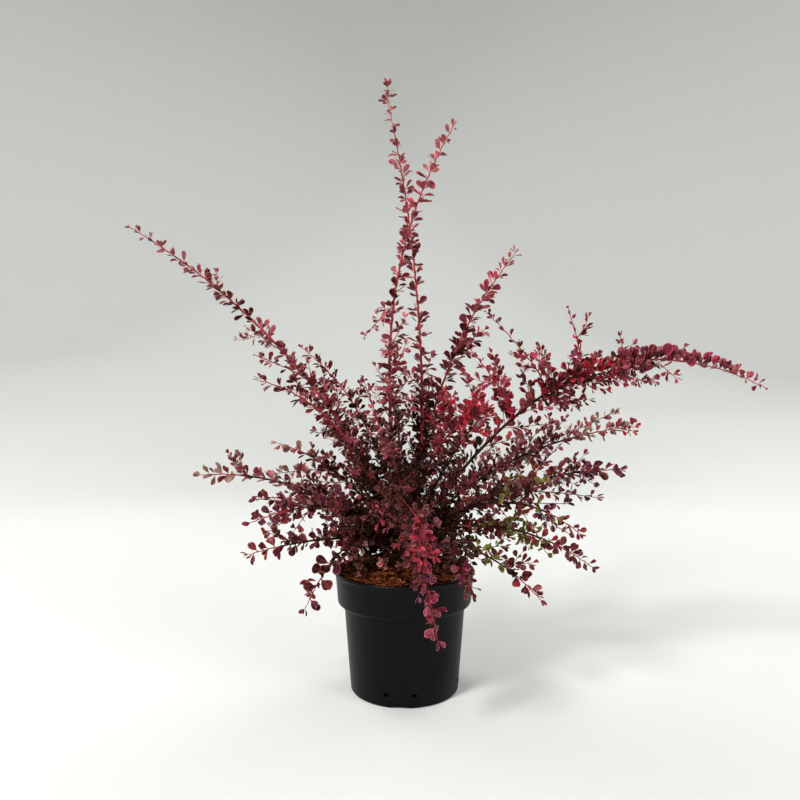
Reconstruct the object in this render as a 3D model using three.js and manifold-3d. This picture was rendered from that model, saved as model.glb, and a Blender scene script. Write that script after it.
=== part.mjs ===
// A young Japanese barberry of the rose-glow kind, standing in its nursery pot.
// Millimetres, +Z up. The origin is the centre of the pot's flat underside, and -Y is the front.
// The shrub has many thin canes from one short stem. The lower part of a strong cane is a bare
// limb of its own, and its leafy part, with side branches, twigs and leaves, is one fused solid.

import * as THREE from 'three';
import { mergeVertices } from 'three/addons/utils/BufferGeometryUtils.js';
import Module from 'manifold-3d';

const wasm = await Module();
wasm.setup();

const clearance = 0.3; // between two solids that touch on the plant

// Pot
const potHeight = 125;
const rimRadius = 75;
const baseRadius = 57;
const bodyTopRadius = 64.2;
const collarHeight = 35;
const collarFootRadius = 71;
const collarRound = 4; // height over which the collar's foot rounds in
const lipHeight = 3.4;
const lipReach = 1.4; // how far the lip stands out from the collar
const lipWidth = 2.4;
const edgeRound = 2;
const wall = 1.4;
const floorThickness = 4.6;
const potSides = 28;
const channelCount = 4;
const channelTurn = -94.6; // degrees: the notch that shows is a little left of the front
const channelFootWidth = 17;
const channelTopWidth = 14;
const channelDepth = 3;
const channelInnerRadius = 16;
const drainSlotTurn = 14; // degrees to each side of a channel
const drainSlotWidth = 5;
const drainSlotHeight = 3.2;
const drainSlotLevel = 13;
const overcut = 5; // how far a cut runs past the pot's outside

// Potting mix
const mixEdgeDrop = 5; // below the pot's rim
const mixCentreHeight = 128;
const mixFlatRadius = 19; // level ground round the stem
const moundRings = 5;
const mixSides = 14;
const mixRoughness = 0.55;

// Short stem that the canes grow from
const flareRadius = 17;
const flareHeight = 9;
const waistRadius = 13;
const headRadius = 15.5;
const headHeight = 23; // centre of the head above the potting mix
const crownHeight = 14; // of the stem's top above that centre
const stemLean = 0.03;
const stemSides = 12;
const footDepth = 0.85; // of the head's radius
const footSpread = THREE.MathUtils.degToRad(22); // least angle between two canes' feet
const footRounds = 80;

// Stems: canes, side branches and twigs
const stemStep = 38; // between two knots of a stem
const fewestSteps = 2;
const tipRadius = 0.55;
const taper = 0.85; // 1 would be a straight cone
const swayShare = 0.012; // of a stem's length
const swayWaves = 1.5;
const phaseStep = 0.37; // of a wave, from one cane's sway to the next
const branchBow = 0.2; // how far a branch keeps to its cane's direction, as a share of its length
const branchThickness = 0.7; // of the cane where it leaves
const limbSides = 5;
const leafyStemSides = 4;
const twigSides = 3;

// Twigs
const goldenAngle = THREE.MathUtils.degToRad(137.5);
const twigThickness = 0.6;
const twigLean = [THREE.MathUtils.degToRad(38), THREE.MathUtils.degToRad(62)]; // from its cane
const twigScatter = 0.5; // radians of turn
const twigLengths = [0.7, 1.1]; // of the cane's twigLength
const twigsFrom = 0.06; // past the bare share of the cane
const twigsTo = 0.86; // share of the cane
const shorterTries = [1, 0.72, 0.5]; // of a twig's length, where it has too little room
const twigRoom = 2.5; // between a twig and the middle of the way to the next cane

// Leaves, larger than life because each stands for a small cluster
const leafLength = 21;
const leafWidth = 14;
const leafThickness = 1.2;
const leafWidestAt = 0.62; // share of the length
const leafSizes = [0.86, 1.14];
const leafSink = 0.4; // of the stem's radius, past its axis
const leafLean = THREE.MathUtils.degToRad(52); // from the stem's direction
const leafScatter = 0.4; // radians of turn
const leafLift = 0.3; // how far a leaf turns up to the light
const leafSpacing = 19.5;
const endLeafLean = 0.2; // radians: the leaf that ends a stem goes on along it
const endLeafAt = 0.985;
const leavesFrom = { cane: 0.04, branch: 0.15, twig: 0.35 }; // shares of a stem with no leaf
const leafRoom = 10; // between the middles of two leaves of one mass
const spaceMargin = 0.5; // between the spaces of two canes
const limbMargin = 0.9; // between a leaf and another cane's bark
const ownMargin = 1.5; // between a leaf's outer corners and the stems of its own mass
const potMargin = 2;
const headMargin = 4;
const groundMargin = 4;

const twigSeed = 1000;
const leafSeed = 5000;
const mergeReach = 1e-3;

const leafColour = 0x5e1c2b;
const barkColour = 0x5a2226;
const stemColour = 0x4b3328;
const mixColour = 0x6b3a18;
const potColour = 0x1c1b1e;

// The canes. azimuth is degrees from +X, counter-clockwise from above. reach is the tip's distance
// from the centre line and rise its height over the ground. heading and launch are the turn and
// the slope, in degrees, at which the cane leaves the stem's head, and run is how far it keeps to
// that before it bends over. bare is the leafless share, which is a limb of its own where
// limb is true. twigCount is how many side twigs the rule tries, up to twigLength long.
const canes = [
  { name: 'tall', azimuth: 125, reach: 36, rise: 648, heading: 24, launch: 75, run: 186,
    radius: 2.3, bare: 0.24, limb: true, twigCount: 0, twigLength: 46 },
  { name: 'leaning', azimuth: 340, reach: 55, rise: 592, heading: 210, launch: 78, run: 277,
    radius: 2.2, bare: 0.26, limb: true, twigCount: 0, twigLength: 46 },
  { name: 'spire', azimuth: 25, reach: 144, rise: 479, heading: 60, launch: 74, run: 209,
    radius: 2, bare: 0.26, limb: true, twigCount: 1, twigLength: 40 },
  { name: 'right_arch', azimuth: 342, reach: 345, rise: 316, heading: 348, launch: 56, run: 320,
    radius: 2.6, bare: 0.22, limb: true, twigCount: 2, twigLength: 50 },
  { name: 'right_high', azimuth: 13, reach: 274, rise: 274, heading: 16, launch: 44, run: 159,
    radius: 1.9, bare: 0.2, limb: true, twigCount: 2, twigLength: 60 },
  { name: 'right_mid', azimuth: 352, reach: 223, rise: 233, heading: 352, launch: 34, run: 150,
    radius: 1.9, bare: 0.2, limb: true, twigCount: 3, twigLength: 60 },
  { name: 'right_low', azimuth: 331, reach: 187, rise: 181, heading: 328, launch: 38, run: 140,
    radius: 1.8, bare: 0.2, limb: true, twigCount: 3, twigLength: 55 },
  { name: 'right_low_arch', azimuth: 11, reach: 217, rise: 116, heading: 13, launch: 20, run: 119,
    radius: 1.7, bare: 0.2, limb: true, twigCount: 3, twigLength: 50 },
  { name: 'right_droop', azimuth: 332, reach: 148, rise: 112, heading: 336, launch: 12, run: 87,
    radius: 1.5, bare: 0.16, limb: false, twigCount: 2, twigLength: 40 },
  { name: 'front_right_droop', azimuth: 297, reach: 135, rise: 133, heading: 300, launch: 22, run: 89,
    radius: 1.5, bare: 0.16, limb: false, twigCount: 2, twigLength: 40 },
  { name: 'front_droop', azimuth: 282, reach: 128, rise: 92, heading: 275, launch: 30, run: 130,
    radius: 1.7, bare: 0.24, limb: true, twigCount: 1, twigLength: 40 },
  { name: 'front_red', azimuth: 276, reach: 168, rise: 196, heading: 250, launch: 48, run: 143,
    radius: 1.8, bare: 0.24, limb: true, twigCount: 2, twigLength: 40 },
  { name: 'front_rise', azimuth: 296, reach: 160, rise: 298, heading: 286, launch: 62, run: 135,
    radius: 1.9, bare: 0.24, limb: true, twigCount: 2, twigLength: 50 },
  { name: 'front_centre', azimuth: 262, reach: 130, rise: 266, heading: 262, launch: 68, run: 105,
    radius: 1.5, bare: 0.2, limb: false, twigCount: 2, twigLength: 45 },
  { name: 'left_droop', azimuth: 202, reach: 108, rise: 94, heading: 206, launch: 26, run: 76,
    radius: 1.4, bare: 0.18, limb: false, twigCount: 1, twigLength: 32 },
  { name: 'left_lower', azimuth: 201, reach: 164, rise: 153, heading: 196, launch: 14, run: 80,
    radius: 1.6, bare: 0.18, limb: false, twigCount: 2, twigLength: 40 },
  { name: 'left_low', azimuth: 218, reach: 178, rise: 194, heading: 222, launch: 40, run: 111,
    radius: 1.8, bare: 0.2, limb: true, twigCount: 3, twigLength: 55 },
  { name: 'left_long', azimuth: 188, reach: 211, rise: 228, heading: 186, launch: 36, run: 140,
    radius: 1.8, bare: 0.22, limb: true, twigCount: 2, twigLength: 55 },
  { name: 'left_upper', azimuth: 155, reach: 163, rise: 254, heading: 150, launch: 46, run: 120,
    radius: 1.7, bare: 0.22, limb: true, twigCount: 2, twigLength: 50 },
  { name: 'left_spray', azimuth: 202, reach: 154, rise: 324, heading: 208, launch: 67, run: 166,
    radius: 1.9, bare: 0.22, limb: true, twigCount: 2, twigLength: 48 },
  { name: 'far_left_arch', azimuth: 171, reach: 320, rise: 504, heading: 168, launch: 66, run: 242,
    radius: 2.5, bare: 0.2, limb: true, twigCount: 2, twigLength: 48 },
  { name: 'upper_left', azimuth: 138, reach: 166, rise: 368, heading: 122, launch: 68, run: 158,
    radius: 1.9, bare: 0.22, limb: true, twigCount: 3, twigLength: 48 },
  { name: 'centre_left', azimuth: 230, reach: 62, rise: 322, heading: 236, launch: 76, run: 100,
    radius: 1.5, bare: 0.2, limb: false, twigCount: 2, twigLength: 45 },
  { name: 'back_left', azimuth: 130, reach: 190, rise: 300, heading: 134, launch: 52, run: 130,
    radius: 1.8, bare: 0.2, limb: true, twigCount: 3, twigLength: 55 },
  { name: 'back_middle', azimuth: 95, reach: 200, rise: 330, heading: 92, launch: 58, run: 150,
    radius: 1.9, bare: 0.2, limb: true, twigCount: 3, twigLength: 55 },
  { name: 'back_right', azimuth: 55, reach: 200, rise: 292, heading: 52, launch: 50, run: 140,
    radius: 1.8, bare: 0.2, limb: true, twigCount: 3, twigLength: 55 },
  { name: 'back_low_left', azimuth: 150, reach: 200, rise: 186, heading: 148, launch: 24, run: 110,
    radius: 1.6, bare: 0.14, limb: false, twigCount: 3, twigLength: 50 },
  { name: 'back_low_middle', azimuth: 88, reach: 200, rise: 176, heading: 88, launch: 26, run: 110,
    radius: 1.6, bare: 0.14, limb: false, twigCount: 3, twigLength: 50 },
  { name: 'back_low_right', azimuth: 38, reach: 220, rise: 200, heading: 36, launch: 24, run: 120,
    radius: 1.6, bare: 0.14, limb: false, twigCount: 3, twigLength: 50 },
  { name: 'inner_front', azimuth: 240, reach: 84, rise: 240, heading: 238, launch: 58, run: 60,
    radius: 1.3, bare: 0.2, limb: false, twigCount: 2, twigLength: 32 },
  { name: 'inner_right', azimuth: 318, reach: 96, rise: 232, heading: 318, launch: 54, run: 60,
    radius: 1.3, bare: 0.2, limb: false, twigCount: 2, twigLength: 34 },
  { name: 'inner_left', azimuth: 180, reach: 84, rise: 246, heading: 180, launch: 60, run: 60,
    radius: 1.3, bare: 0.2, limb: false, twigCount: 2, twigLength: 32 },
  { name: 'inner_back', azimuth: 70, reach: 82, rise: 262, heading: 72, launch: 66, run: 60,
    radius: 1.3, bare: 0.2, limb: false, twigCount: 2, twigLength: 34 },
];

// Side branches that the canes carry. at is the share of the cane's length where one starts, and
// its tip is placed as a cane's is.
const sideBranches = [
  { cane: 'right_arch', at: 0.3, azimuth: 312, reach: 83, rise: 364 },
  { cane: 'right_arch', at: 0.4, azimuth: 320, reach: 104, rise: 390 },
  { cane: 'right_arch', at: 0.5, azimuth: 338, reach: 172, rise: 394 },
  { cane: 'right_arch', at: 0.62, azimuth: 336, reach: 220, rise: 368 },
  { cane: 'right_arch', at: 0.48, azimuth: 338, reach: 248, rise: 322 },
  { cane: 'right_high', at: 0.45, azimuth: 20, reach: 272, rise: 292 },
  { cane: 'right_mid', at: 0.4, azimuth: 345, reach: 196, rise: 208 },
  { cane: 'right_low', at: 0.45, azimuth: 338, reach: 170, rise: 204 },
  { cane: 'front_rise', at: 0.55, azimuth: 290, reach: 120, rise: 300 },
  { cane: 'left_low', at: 0.5, azimuth: 208, reach: 160, rise: 210 },
  { cane: 'far_left_arch', at: 0.42, azimuth: 172, reach: 166, rise: 354 },
  { cane: 'far_left_arch', at: 0.5, azimuth: 166, reach: 186, rise: 388 },
  { cane: 'leaning', at: 0.5, azimuth: 200, reach: 44, rise: 372 },
  { cane: 'left_upper', at: 0.5, azimuth: 165, reach: 150, rise: 222 },
];

const up = new THREE.Vector3(0, 0, 1);
const headCentre = new THREE.Vector3(0, 0, mixCentreHeight + headHeight);

// A small seeded generator: the same numbers on every run.
function seededNumbers(seed) {
  let state = seed >>> 0;
  return () => {
    state = (state + 0x6d2b79f5) >>> 0;
    let mixed = Math.imul(state ^ (state >>> 15), state | 1);
    mixed ^= mixed + Math.imul(mixed ^ (mixed >>> 7), mixed | 61);
    return ((mixed ^ (mixed >>> 14)) >>> 0) / 4294967296;
  };
}

function between(low, high, share) {
  return low + (high - low) * share;
}

// A direction that leans away from along, towards the side that turn picks.
function leaning({ along, across, over }, turn, lean) {
  const outward = across.clone().multiplyScalar(Math.cos(turn)).addScaledVector(over, Math.sin(turn));
  return along.clone().multiplyScalar(Math.cos(lean)).addScaledVector(outward, Math.sin(lean));
}

// A point from a turn about Z, a distance from the centre line and a height.
function around(azimuth, reach, height) {
  const turn = THREE.MathUtils.degToRad(azimuth);
  return new THREE.Vector3(reach * Math.cos(turn), reach * Math.sin(turn), height);
}

function direction(azimuth, slope) {
  const tilt = THREE.MathUtils.degToRad(slope);
  return around(azimuth, Math.cos(tilt), Math.sin(tilt));
}

// Solids

function solidOf(geometry) {
  const bare = new THREE.BufferGeometry();
  bare.setAttribute('position', geometry.getAttribute('position'));
  bare.setIndex(geometry.index);
  const merged = mergeVertices(bare, mergeReach);
  const corners = merged.index.array;
  const kept = [];
  for (let i = 0; i < corners.length; i += 3) {
    const [a, b, c] = corners.slice(i, i + 3);
    if (a !== b && b !== c && c !== a) kept.push(a, b, c);
  }
  return new wasm.Manifold(new wasm.Mesh({
    numProp: 3,
    vertProperties: merged.attributes.position.array,
    triVerts: new Uint32Array(kept),
  }));
}

function geometryOf(solid) {
  const mesh = solid.getMesh();
  const geometry = new THREE.BufferGeometry();
  geometry.setAttribute('position', new THREE.BufferAttribute(new Float32Array(mesh.vertProperties), 3));
  geometry.setIndex(new THREE.BufferAttribute(new Uint32Array(mesh.triVerts), 1));
  geometry.computeVertexNormals();
  return geometry;
}

// Joins solids two by two, and keeps the one body they make: a hollow that the joining sealed
// is filled, and a scrap that met nothing is dropped.
function joined(solids) {
  let row = solids;
  while (row.length > 1) {
    const next = [];
    for (let i = 0; i < row.length; i += 2) {
      next.push(i + 1 < row.length ? row[i].add(row[i + 1]) : row[i]);
    }
    row = next;
  }
  return largestBody(solidOf(geometryOf(largestBody(row[0]))));
}

function largestBody(solid) {
  return solid.decompose().reduce((most, body) => (body.volume() > most.volume() ? body : most));
}

// A turned shape: the profile is [radius, height] pairs, and shape may move each point.
function turned(profile, sides, shape = () => {}) {
  const points = profile.map(([radius, height]) => new THREE.Vector2(radius, height));
  const geometry = new THREE.LatheGeometry(points, sides).rotateX(Math.PI / 2);
  const position = geometry.getAttribute('position');
  const point = new THREE.Vector3();
  for (let i = 0; i < position.count; i++) {
    shape(point.fromBufferAttribute(position, i));
    position.setXYZ(i, point.x, point.y, point.z);
  }
  return solidOf(geometry);
}

// A closed round limb from one share of a stem to another: a cylinder bent along the stem.
function limb(stem, from, to, sides) {
  const knots = Array.from({ length: stem.knots.length }, (_, i) => i / (stem.knots.length - 1));
  const apart = 0.02;
  const stops = [from, ...knots.filter((knot) => knot > from + apart && knot < to - apart), to];
  const steps = stops.length - 1;
  const geometry = new THREE.CylinderGeometry(1, 1, 1, sides, steps);
  const position = geometry.getAttribute('position');
  const local = new THREE.Vector3();
  for (let i = 0; i < position.count; i++) {
    local.fromBufferAttribute(position, i);
    const t = stops[Math.round((local.y + 0.5) * steps)];
    const { along, across, over } = frameOf(stem, t);
    const place = pointOf(stem, t);
    const radius = radiusOf(stem, t);
    place.addScaledVector(across, local.x * radius).addScaledVector(over, -local.z * radius);
    position.setXYZ(i, place.x, place.y, place.z);
  }
  return solidOf(geometry);
}

// Stems: each bends from start by way of turn to tip, with a gentle sway, and is straight
// between its knots.

function makeStem(start, turn, tip, radius, phase) {
  const curve = new THREE.QuadraticBezierCurve3(start, turn, tip);
  const length = curve.getLength();
  const chord = tip.clone().sub(start).normalize();
  const side = turn.clone().sub(start).cross(chord);
  if (side.length() < 1e-3 * length) side.copy(up).cross(chord);
  side.normalize();
  const steps = Math.max(fewestSteps, Math.round(length / stemStep));
  const knots = Array.from({ length: steps + 1 }, (_, i) => {
    const t = i / steps;
    const wave = Math.sin(2 * Math.PI * (swayWaves * t + phase)) - Math.sin(2 * Math.PI * phase);
    return curve.getPoint(t).addScaledVector(side, swayShare * length * t * (1.4 - t) * wave);
  });
  return { knots, length, side, radius };
}

function pointOf(stem, t) {
  const last = stem.knots.length - 1;
  const index = Math.min(last - 1, Math.floor(t * last));
  return stem.knots[index].clone().lerp(stem.knots[index + 1], t * last - index);
}

function frameOf(stem, t) {
  const ahead = pointOf(stem, Math.min(1, t + 0.01));
  const along = ahead.sub(pointOf(stem, Math.max(0, t - 0.01))).normalize();
  const over = along.clone().cross(stem.side).normalize();
  const across = over.clone().cross(along);
  return { along, across, over };
}

function radiusOf(stem, t) {
  return tipRadius + (stem.radius - tipRadius) * (1 - t) ** taper;
}

// The stretches of a stem between its knots, for measuring how near it is.
function stretches(stem) {
  const last = stem.knots.length - 1;
  return Array.from({ length: last }, (_, i) => ({
    line: new THREE.Line3(stem.knots[i], stem.knots[i + 1]),
    radius: radiusOf(stem, i / last),
  }));
}

// The canes' feet on the stem's head. Each stands where its cane is heading, and two that are
// too close push each other apart.
function spreadFeet() {
  const feet = canes.map((cane) => direction(cane.heading, cane.launch));
  for (let round = 0; round < footRounds; round++) {
    for (const [index, foot] of feet.entries()) {
      for (const other of feet.slice(index + 1)) {
        const short = footSpread - foot.angleTo(other);
        if (short <= 0) continue;
        const axis = foot.clone().cross(other).normalize();
        foot.applyAxisAngle(axis, -0.5 * short);
        other.applyAxisAngle(axis, 0.5 * short);
      }
    }
  }
  return feet;
}

// The plant's skeleton: one entry for each cane, with its stem, side branches and twigs.

function growSkeleton() {
  const feet = spreadFeet();
  const plants = canes.map((cane, index) => {
    const start = headCentre.clone().addScaledVector(feet[index], headRadius * footDepth);
    const turn = headCentre.clone().addScaledVector(direction(cane.heading, cane.launch), cane.run);
    const tip = around(cane.azimuth, cane.reach, cane.rise);
    const stem = makeStem(start, turn, tip, cane.radius, (index * phaseStep) % 1);
    return { ...cane, index, stem, branches: [], twigs: [], leafMiddles: [] };
  });
  for (const branch of sideBranches) {
    const plant = plants.find((candidate) => candidate.name === branch.cane);
    const start = pointOf(plant.stem, branch.at);
    const tip = around(branch.azimuth, branch.reach, branch.rise);
    const bow = branchBow * start.distanceTo(tip);
    const turn = start.clone().addScaledVector(frameOf(plant.stem, branch.at).along, bow);
    const radius = branchThickness * radiusOf(plant.stem, branch.at);
    plant.branches.push(makeStem(start, turn, tip, radius, branch.at));
  }
  for (const plant of plants) {
    plant.trace = [plant.stem, ...plant.branches].flatMap(stretches);
  }
  const twigs = plants.map((plant) => growTwigs(plants, plant));
  for (const [index, plant] of plants.entries()) {
    plant.twigs = twigs[index];
    plant.trace.push(...plant.twigs.flatMap(stretches));
  }
  return plants;
}

// How far a point is outside the bark of a cane and of all that it carries.
function gapTo(plant, point) {
  const nearest = new THREE.Vector3();
  const gaps = plant.trace.map(({ line, radius }) => {
    line.closestPointToPoint(point, true, nearest);
    return nearest.distanceTo(point) - radius;
  });
  return Math.min(...gaps);
}

// A cane's own space is where it is nearer than any other cane, clear of the pot, the potting mix
// and the short stem.
function inOwnSpace(plants, plant, point, margin) {
  const fromAxis = Math.hypot(point.x, point.y);
  if (fromAxis < rimRadius + potMargin && point.z < mixCentreHeight + potMargin) return false;
  if (point.distanceTo(headCentre) < headRadius + headMargin) return false;
  if (point.z < groundMargin) return false;
  const own = gapTo(plant, point);
  if (own < ownMargin) return false;
  return plants.every((other) => {
    if (other === plant) return true;
    const gap = gapTo(other, point);
    return gap > own + margin && gap > limbMargin;
  });
}

// Side twigs leave a cane one golden angle after another. A twig that doesn't fit its cane's space
// is tried shorter, and then skipped.
function growTwigs(plants, plant) {
  const next = seededNumbers(twigSeed + plant.index);
  const twigs = [];
  for (let i = 0; i < plant.twigCount; i++) {
    const t = between(plant.bare + twigsFrom, twigsTo, (i + between(0.15, 0.75, next())) / plant.twigCount);
    const turn = i * goldenAngle + between(-twigScatter, twigScatter, next());
    const lean = between(...twigLean, next());
    const length = plant.twigLength * between(...twigLengths, next()) * between(1.15, 0.55, t);
    const phase = next();
    const twig = shorterTries
      .map((share) => twigAt(plant.stem, t, turn, lean, length * share, phase))
      .find((tried) => twigFits(plants, plant, tried));
    if (twig) twigs.push(twig);
  }
  return twigs;
}

// A twig leaves at a lean and then bends a little towards its cane's direction and upwards.
function twigAt(stem, t, turn, lean, length, phase) {
  const frame = frameOf(stem, t);
  const leaving = leaning(frame, turn, lean);
  const start = pointOf(stem, t);
  const bend = start.clone().addScaledVector(leaving, 0.5 * length);
  const tip = bend.clone().addScaledVector(leaving, 0.42 * length)
    .addScaledVector(frame.along, 0.2 * length).addScaledVector(up, 0.1 * length);
  return makeStem(start, bend, tip, twigThickness * radiusOf(stem, t), phase);
}

function twigFits(plants, plant, twig) {
  return [0.4, 0.7, 1].every((at) => inOwnSpace(plants, plant, pointOf(twig, at), twigRoom));
}

// Leaves

// A leaf's corners: root, left, right and tip. It is widest past the middle, as the real one is,
// and thickest there, where its sides stand up over its midrib.
function leafCorners(root, along, across, face, size) {
  const corner = (length, width, height) => root.clone()
    .addScaledVector(along, length * leafLength * size)
    .addScaledVector(across, width * leafWidth * size)
    .addScaledVector(face, height);
  return [
    corner(0, 0, 0), corner(leafWidestAt, 0.5, leafThickness),
    corner(leafWidestAt, -0.5, leafThickness), corner(1, 0, 0),
  ];
}

function leafSolid(corners) {
  const geometry = new THREE.BufferGeometry().setFromPoints(corners);
  geometry.setIndex([0, 1, 2, 1, 3, 2, 0, 3, 1, 0, 2, 3]);
  return solidOf(geometry);
}

// Leaves stand along a stem from one share of it to its tip, and one ends it.
function growLeaves(plants, plant, stem, from, next) {
  const grown = [];
  const count = Math.max(2, Math.round((stem.length * (1 - from)) / leafSpacing));
  for (let i = 0; i <= count; i++) {
    const last = i === count;
    const t = last ? endLeafAt : between(from, 1, (i + 0.3 * next()) / count);
    const turn = i * goldenAngle + between(-leafScatter, leafScatter, next());
    const lean = last ? endLeafLean : leafLean * between(0.85, 1.15, next());
    const size = between(...leafSizes, next()) * between(1, 0.7, t ** 3);
    const frame = frameOf(stem, t);
    const reach = leaning(frame, turn, lean);
    reach.addScaledVector(up, last ? 0 : leafLift).normalize();
    const flat = reach.clone().cross(frame.along).normalize();
    const face = flat.clone().cross(reach).normalize();
    const root = pointOf(stem, t).addScaledVector(reach, -leafSink * radiusOf(stem, t));
    const corners = leafCorners(root, reach, flat, face, size);
    const middle = corners[0].clone().lerp(corners[3], leafWidestAt);
    const roomy = plant.leafMiddles.every((other) => other.distanceTo(middle) > leafRoom);
    if (roomy && corners.slice(1).every((corner) => inOwnSpace(plants, plant, corner, spaceMargin))) {
      plant.leafMiddles.push(middle);
      grown.push(leafSolid(corners));
    }
  }
  return grown;
}

// A cane's leafy part as one solid. It starts clear of the bare limb under it, if there is one.
function foliage(plants, plant) {
  const { stem, branches, twigs, bare } = plant;
  const next = seededNumbers(leafSeed + plant.index);
  const from = plant.limb ? bare + clearance / stem.length : 0;
  const parts = [limb(stem, from, 1, leafyStemSides)];
  parts.push(...growLeaves(plants, plant, stem, bare + leavesFrom.cane, next));
  for (const branch of branches) {
    parts.push(limb(branch, 0, 1, twigSides));
    parts.push(...growLeaves(plants, plant, branch, leavesFrom.branch, next));
  }
  for (const twig of twigs) {
    parts.push(limb(twig, 0, 1, twigSides));
    parts.push(...growLeaves(plants, plant, twig, leavesFrom.twig, next));
  }
  return joined(parts);
}

// Pot

const collarFoot = potHeight - collarHeight;
const collarTopRadius = rimRadius - lipReach;
const lipFoot = potHeight - lipHeight;

// The outer radius of the pot's body below the collar.
function bodyRadius(height) {
  return between(baseRadius, bodyTopRadius, height / collarFoot);
}

// The outer radius of the collar, which widens evenly to the lip.
function collarRadius(height) {
  const share = (height - collarFoot - collarRound) / (lipFoot - collarFoot - collarRound);
  return between(collarFootRadius, collarTopRadius, share);
}

function makePot() {
  const outside = [
    [0, 0], [baseRadius - edgeRound, 0], [bodyRadius(edgeRound), edgeRound],
    [bodyTopRadius, collarFoot], [collarFootRadius - edgeRound, collarFoot + wall / 2],
    [collarFootRadius, collarFoot + collarRound], [collarTopRadius, lipFoot],
    [rimRadius, lipFoot + lipReach], [rimRadius - edgeRound / 3, potHeight],
    [rimRadius - lipWidth, potHeight],
  ];
  const inside = [
    [collarTopRadius - wall, lipFoot], [collarFootRadius - wall, collarFoot + collarRound],
    [bodyTopRadius - wall, collarFoot + wall],
    [bodyRadius(floorThickness) - wall, floorThickness], [0, floorThickness],
  ];
  let pot = turned([...outside, ...inside], potSides);
  for (let i = 0; i < channelCount; i++) {
    const turn = THREE.MathUtils.degToRad(channelTurn + (360 / channelCount) * i);
    pot = pot.subtract(drainChannel(turn));
    for (const sign of [-1, 1]) {
      pot = pot.subtract(drainSlot(turn + sign * THREE.MathUtils.degToRad(drainSlotTurn)));
    }
  }
  return pot;
}

// A channel across the underside, wider at the bottom, which ends in a notch in the foot.
function drainChannel(turn) {
  const halfTop = channelTopWidth / 2;
  const flare = (channelFootWidth - channelTopWidth) / 2 / channelDepth;
  const halfFoot = channelFootWidth / 2 + flare * overcut;
  const section = new THREE.Shape([
    new THREE.Vector2(-halfFoot, -overcut), new THREE.Vector2(halfFoot, -overcut),
    new THREE.Vector2(halfTop, channelDepth), new THREE.Vector2(-halfTop, channelDepth),
  ]);
  const length = baseRadius + overcut - channelInnerRadius;
  const geometry = new THREE.ExtrudeGeometry(section, { depth: length, bevelEnabled: false });
  geometry.rotateX(Math.PI / 2).translate(0, -channelInnerRadius, 0).rotateZ(turn + Math.PI / 2);
  return solidOf(geometry);
}

function drainSlot(turn) {
  const geometry = new THREE.BoxGeometry(3 * wall, drainSlotWidth, drainSlotHeight);
  geometry.translate(bodyRadius(drainSlotLevel) - wall / 2, 0, drainSlotLevel).rotateZ(turn);
  return solidOf(geometry);
}

// The potting mix fills the pot a little clear of its wall, with a rough, slightly mounded top.
function makeMix() {
  const gap = wall + clearance;
  const foot = floorThickness + clearance;
  const edge = potHeight - mixEdgeDrop;
  const edgeRadius = collarRadius(edge) - gap;
  const mound = Array.from({ length: moundRings }, (_, i) => {
    const share = (i + 1) / moundRings;
    const rise = Math.sin(share * Math.PI / 2);
    return [between(edgeRadius, mixFlatRadius, share), between(edge, mixCentreHeight, rise)];
  });
  const profile = [
    [0, foot], [bodyRadius(floorThickness) - gap, foot],
    [bodyTopRadius - gap, collarFoot + wall + clearance],
    [collarFootRadius - gap, collarFoot + collarRound + 2 * clearance],
    [edgeRadius, edge], ...mound, [0, mixCentreHeight],
  ];
  return turned(profile, mixSides, (point) => {
    const fromAxis = Math.hypot(point.x, point.y);
    if (point.z > edge + mixRoughness && fromAxis > mixFlatRadius + mixRoughness) {
      point.z += mixRoughness * lumpAt(point.x, point.y);
    }
  });
}

// Gentle lumps a few centimetres across, between -2 and 2.
function lumpAt(x, y) {
  return Math.sin(0.31 * x + 1.3) * Math.cos(0.27 * y) + Math.sin(0.17 * (x - y));
}

// A profile moved outwards by the same distance everywhere.
function grown(profile, distance) {
  return profile.map(([radius, height], index) => {
    const [fromRadius, fromHeight] = profile[Math.max(0, index - 1)];
    const [toRadius, toHeight] = profile[Math.min(profile.length - 1, index + 1)];
    const outward = new THREE.Vector2(toHeight - fromHeight, fromRadius - toRadius).setLength(distance);
    return [radius === 0 ? 0 : radius + outward.x, height + outward.y];
  });
}

// The short stem: root flare, waist and a knuckled head, with a slight lean. margin widens it.
function makeShortStem(margin = 0) {
  const foot = mixCentreHeight + clearance;
  const centre = headCentre.z;
  const profile = [
    [0, foot], [flareRadius, foot], [between(flareRadius, waistRadius, 0.4), foot + 0.25 * flareHeight],
    [between(flareRadius, waistRadius, 0.7), foot + 0.65 * flareHeight], [waistRadius, foot + flareHeight],
    [between(waistRadius, headRadius, 0.5), centre - 0.4 * headRadius], [headRadius, centre],
    [0.88 * headRadius, centre + 0.46 * crownHeight], [0.55 * headRadius, centre + 0.86 * crownHeight],
    [0, centre + crownHeight],
  ];
  return turned(margin > 0 ? grown(profile, margin) : profile, stemSides, (point) => {
    const turn = Math.atan2(point.y, point.x);
    const flare = Math.max(0, 1 - (point.z - foot) / flareHeight);
    const swell = 1 + 0.035 * Math.cos(5 * turn + 0.4 * point.z) + 0.07 * flare * Math.cos(3 * turn + 0.6);
    point.x = point.x * swell + stemLean * (point.z - foot);
    point.y *= swell;
  });
}

// The whole plant

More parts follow.
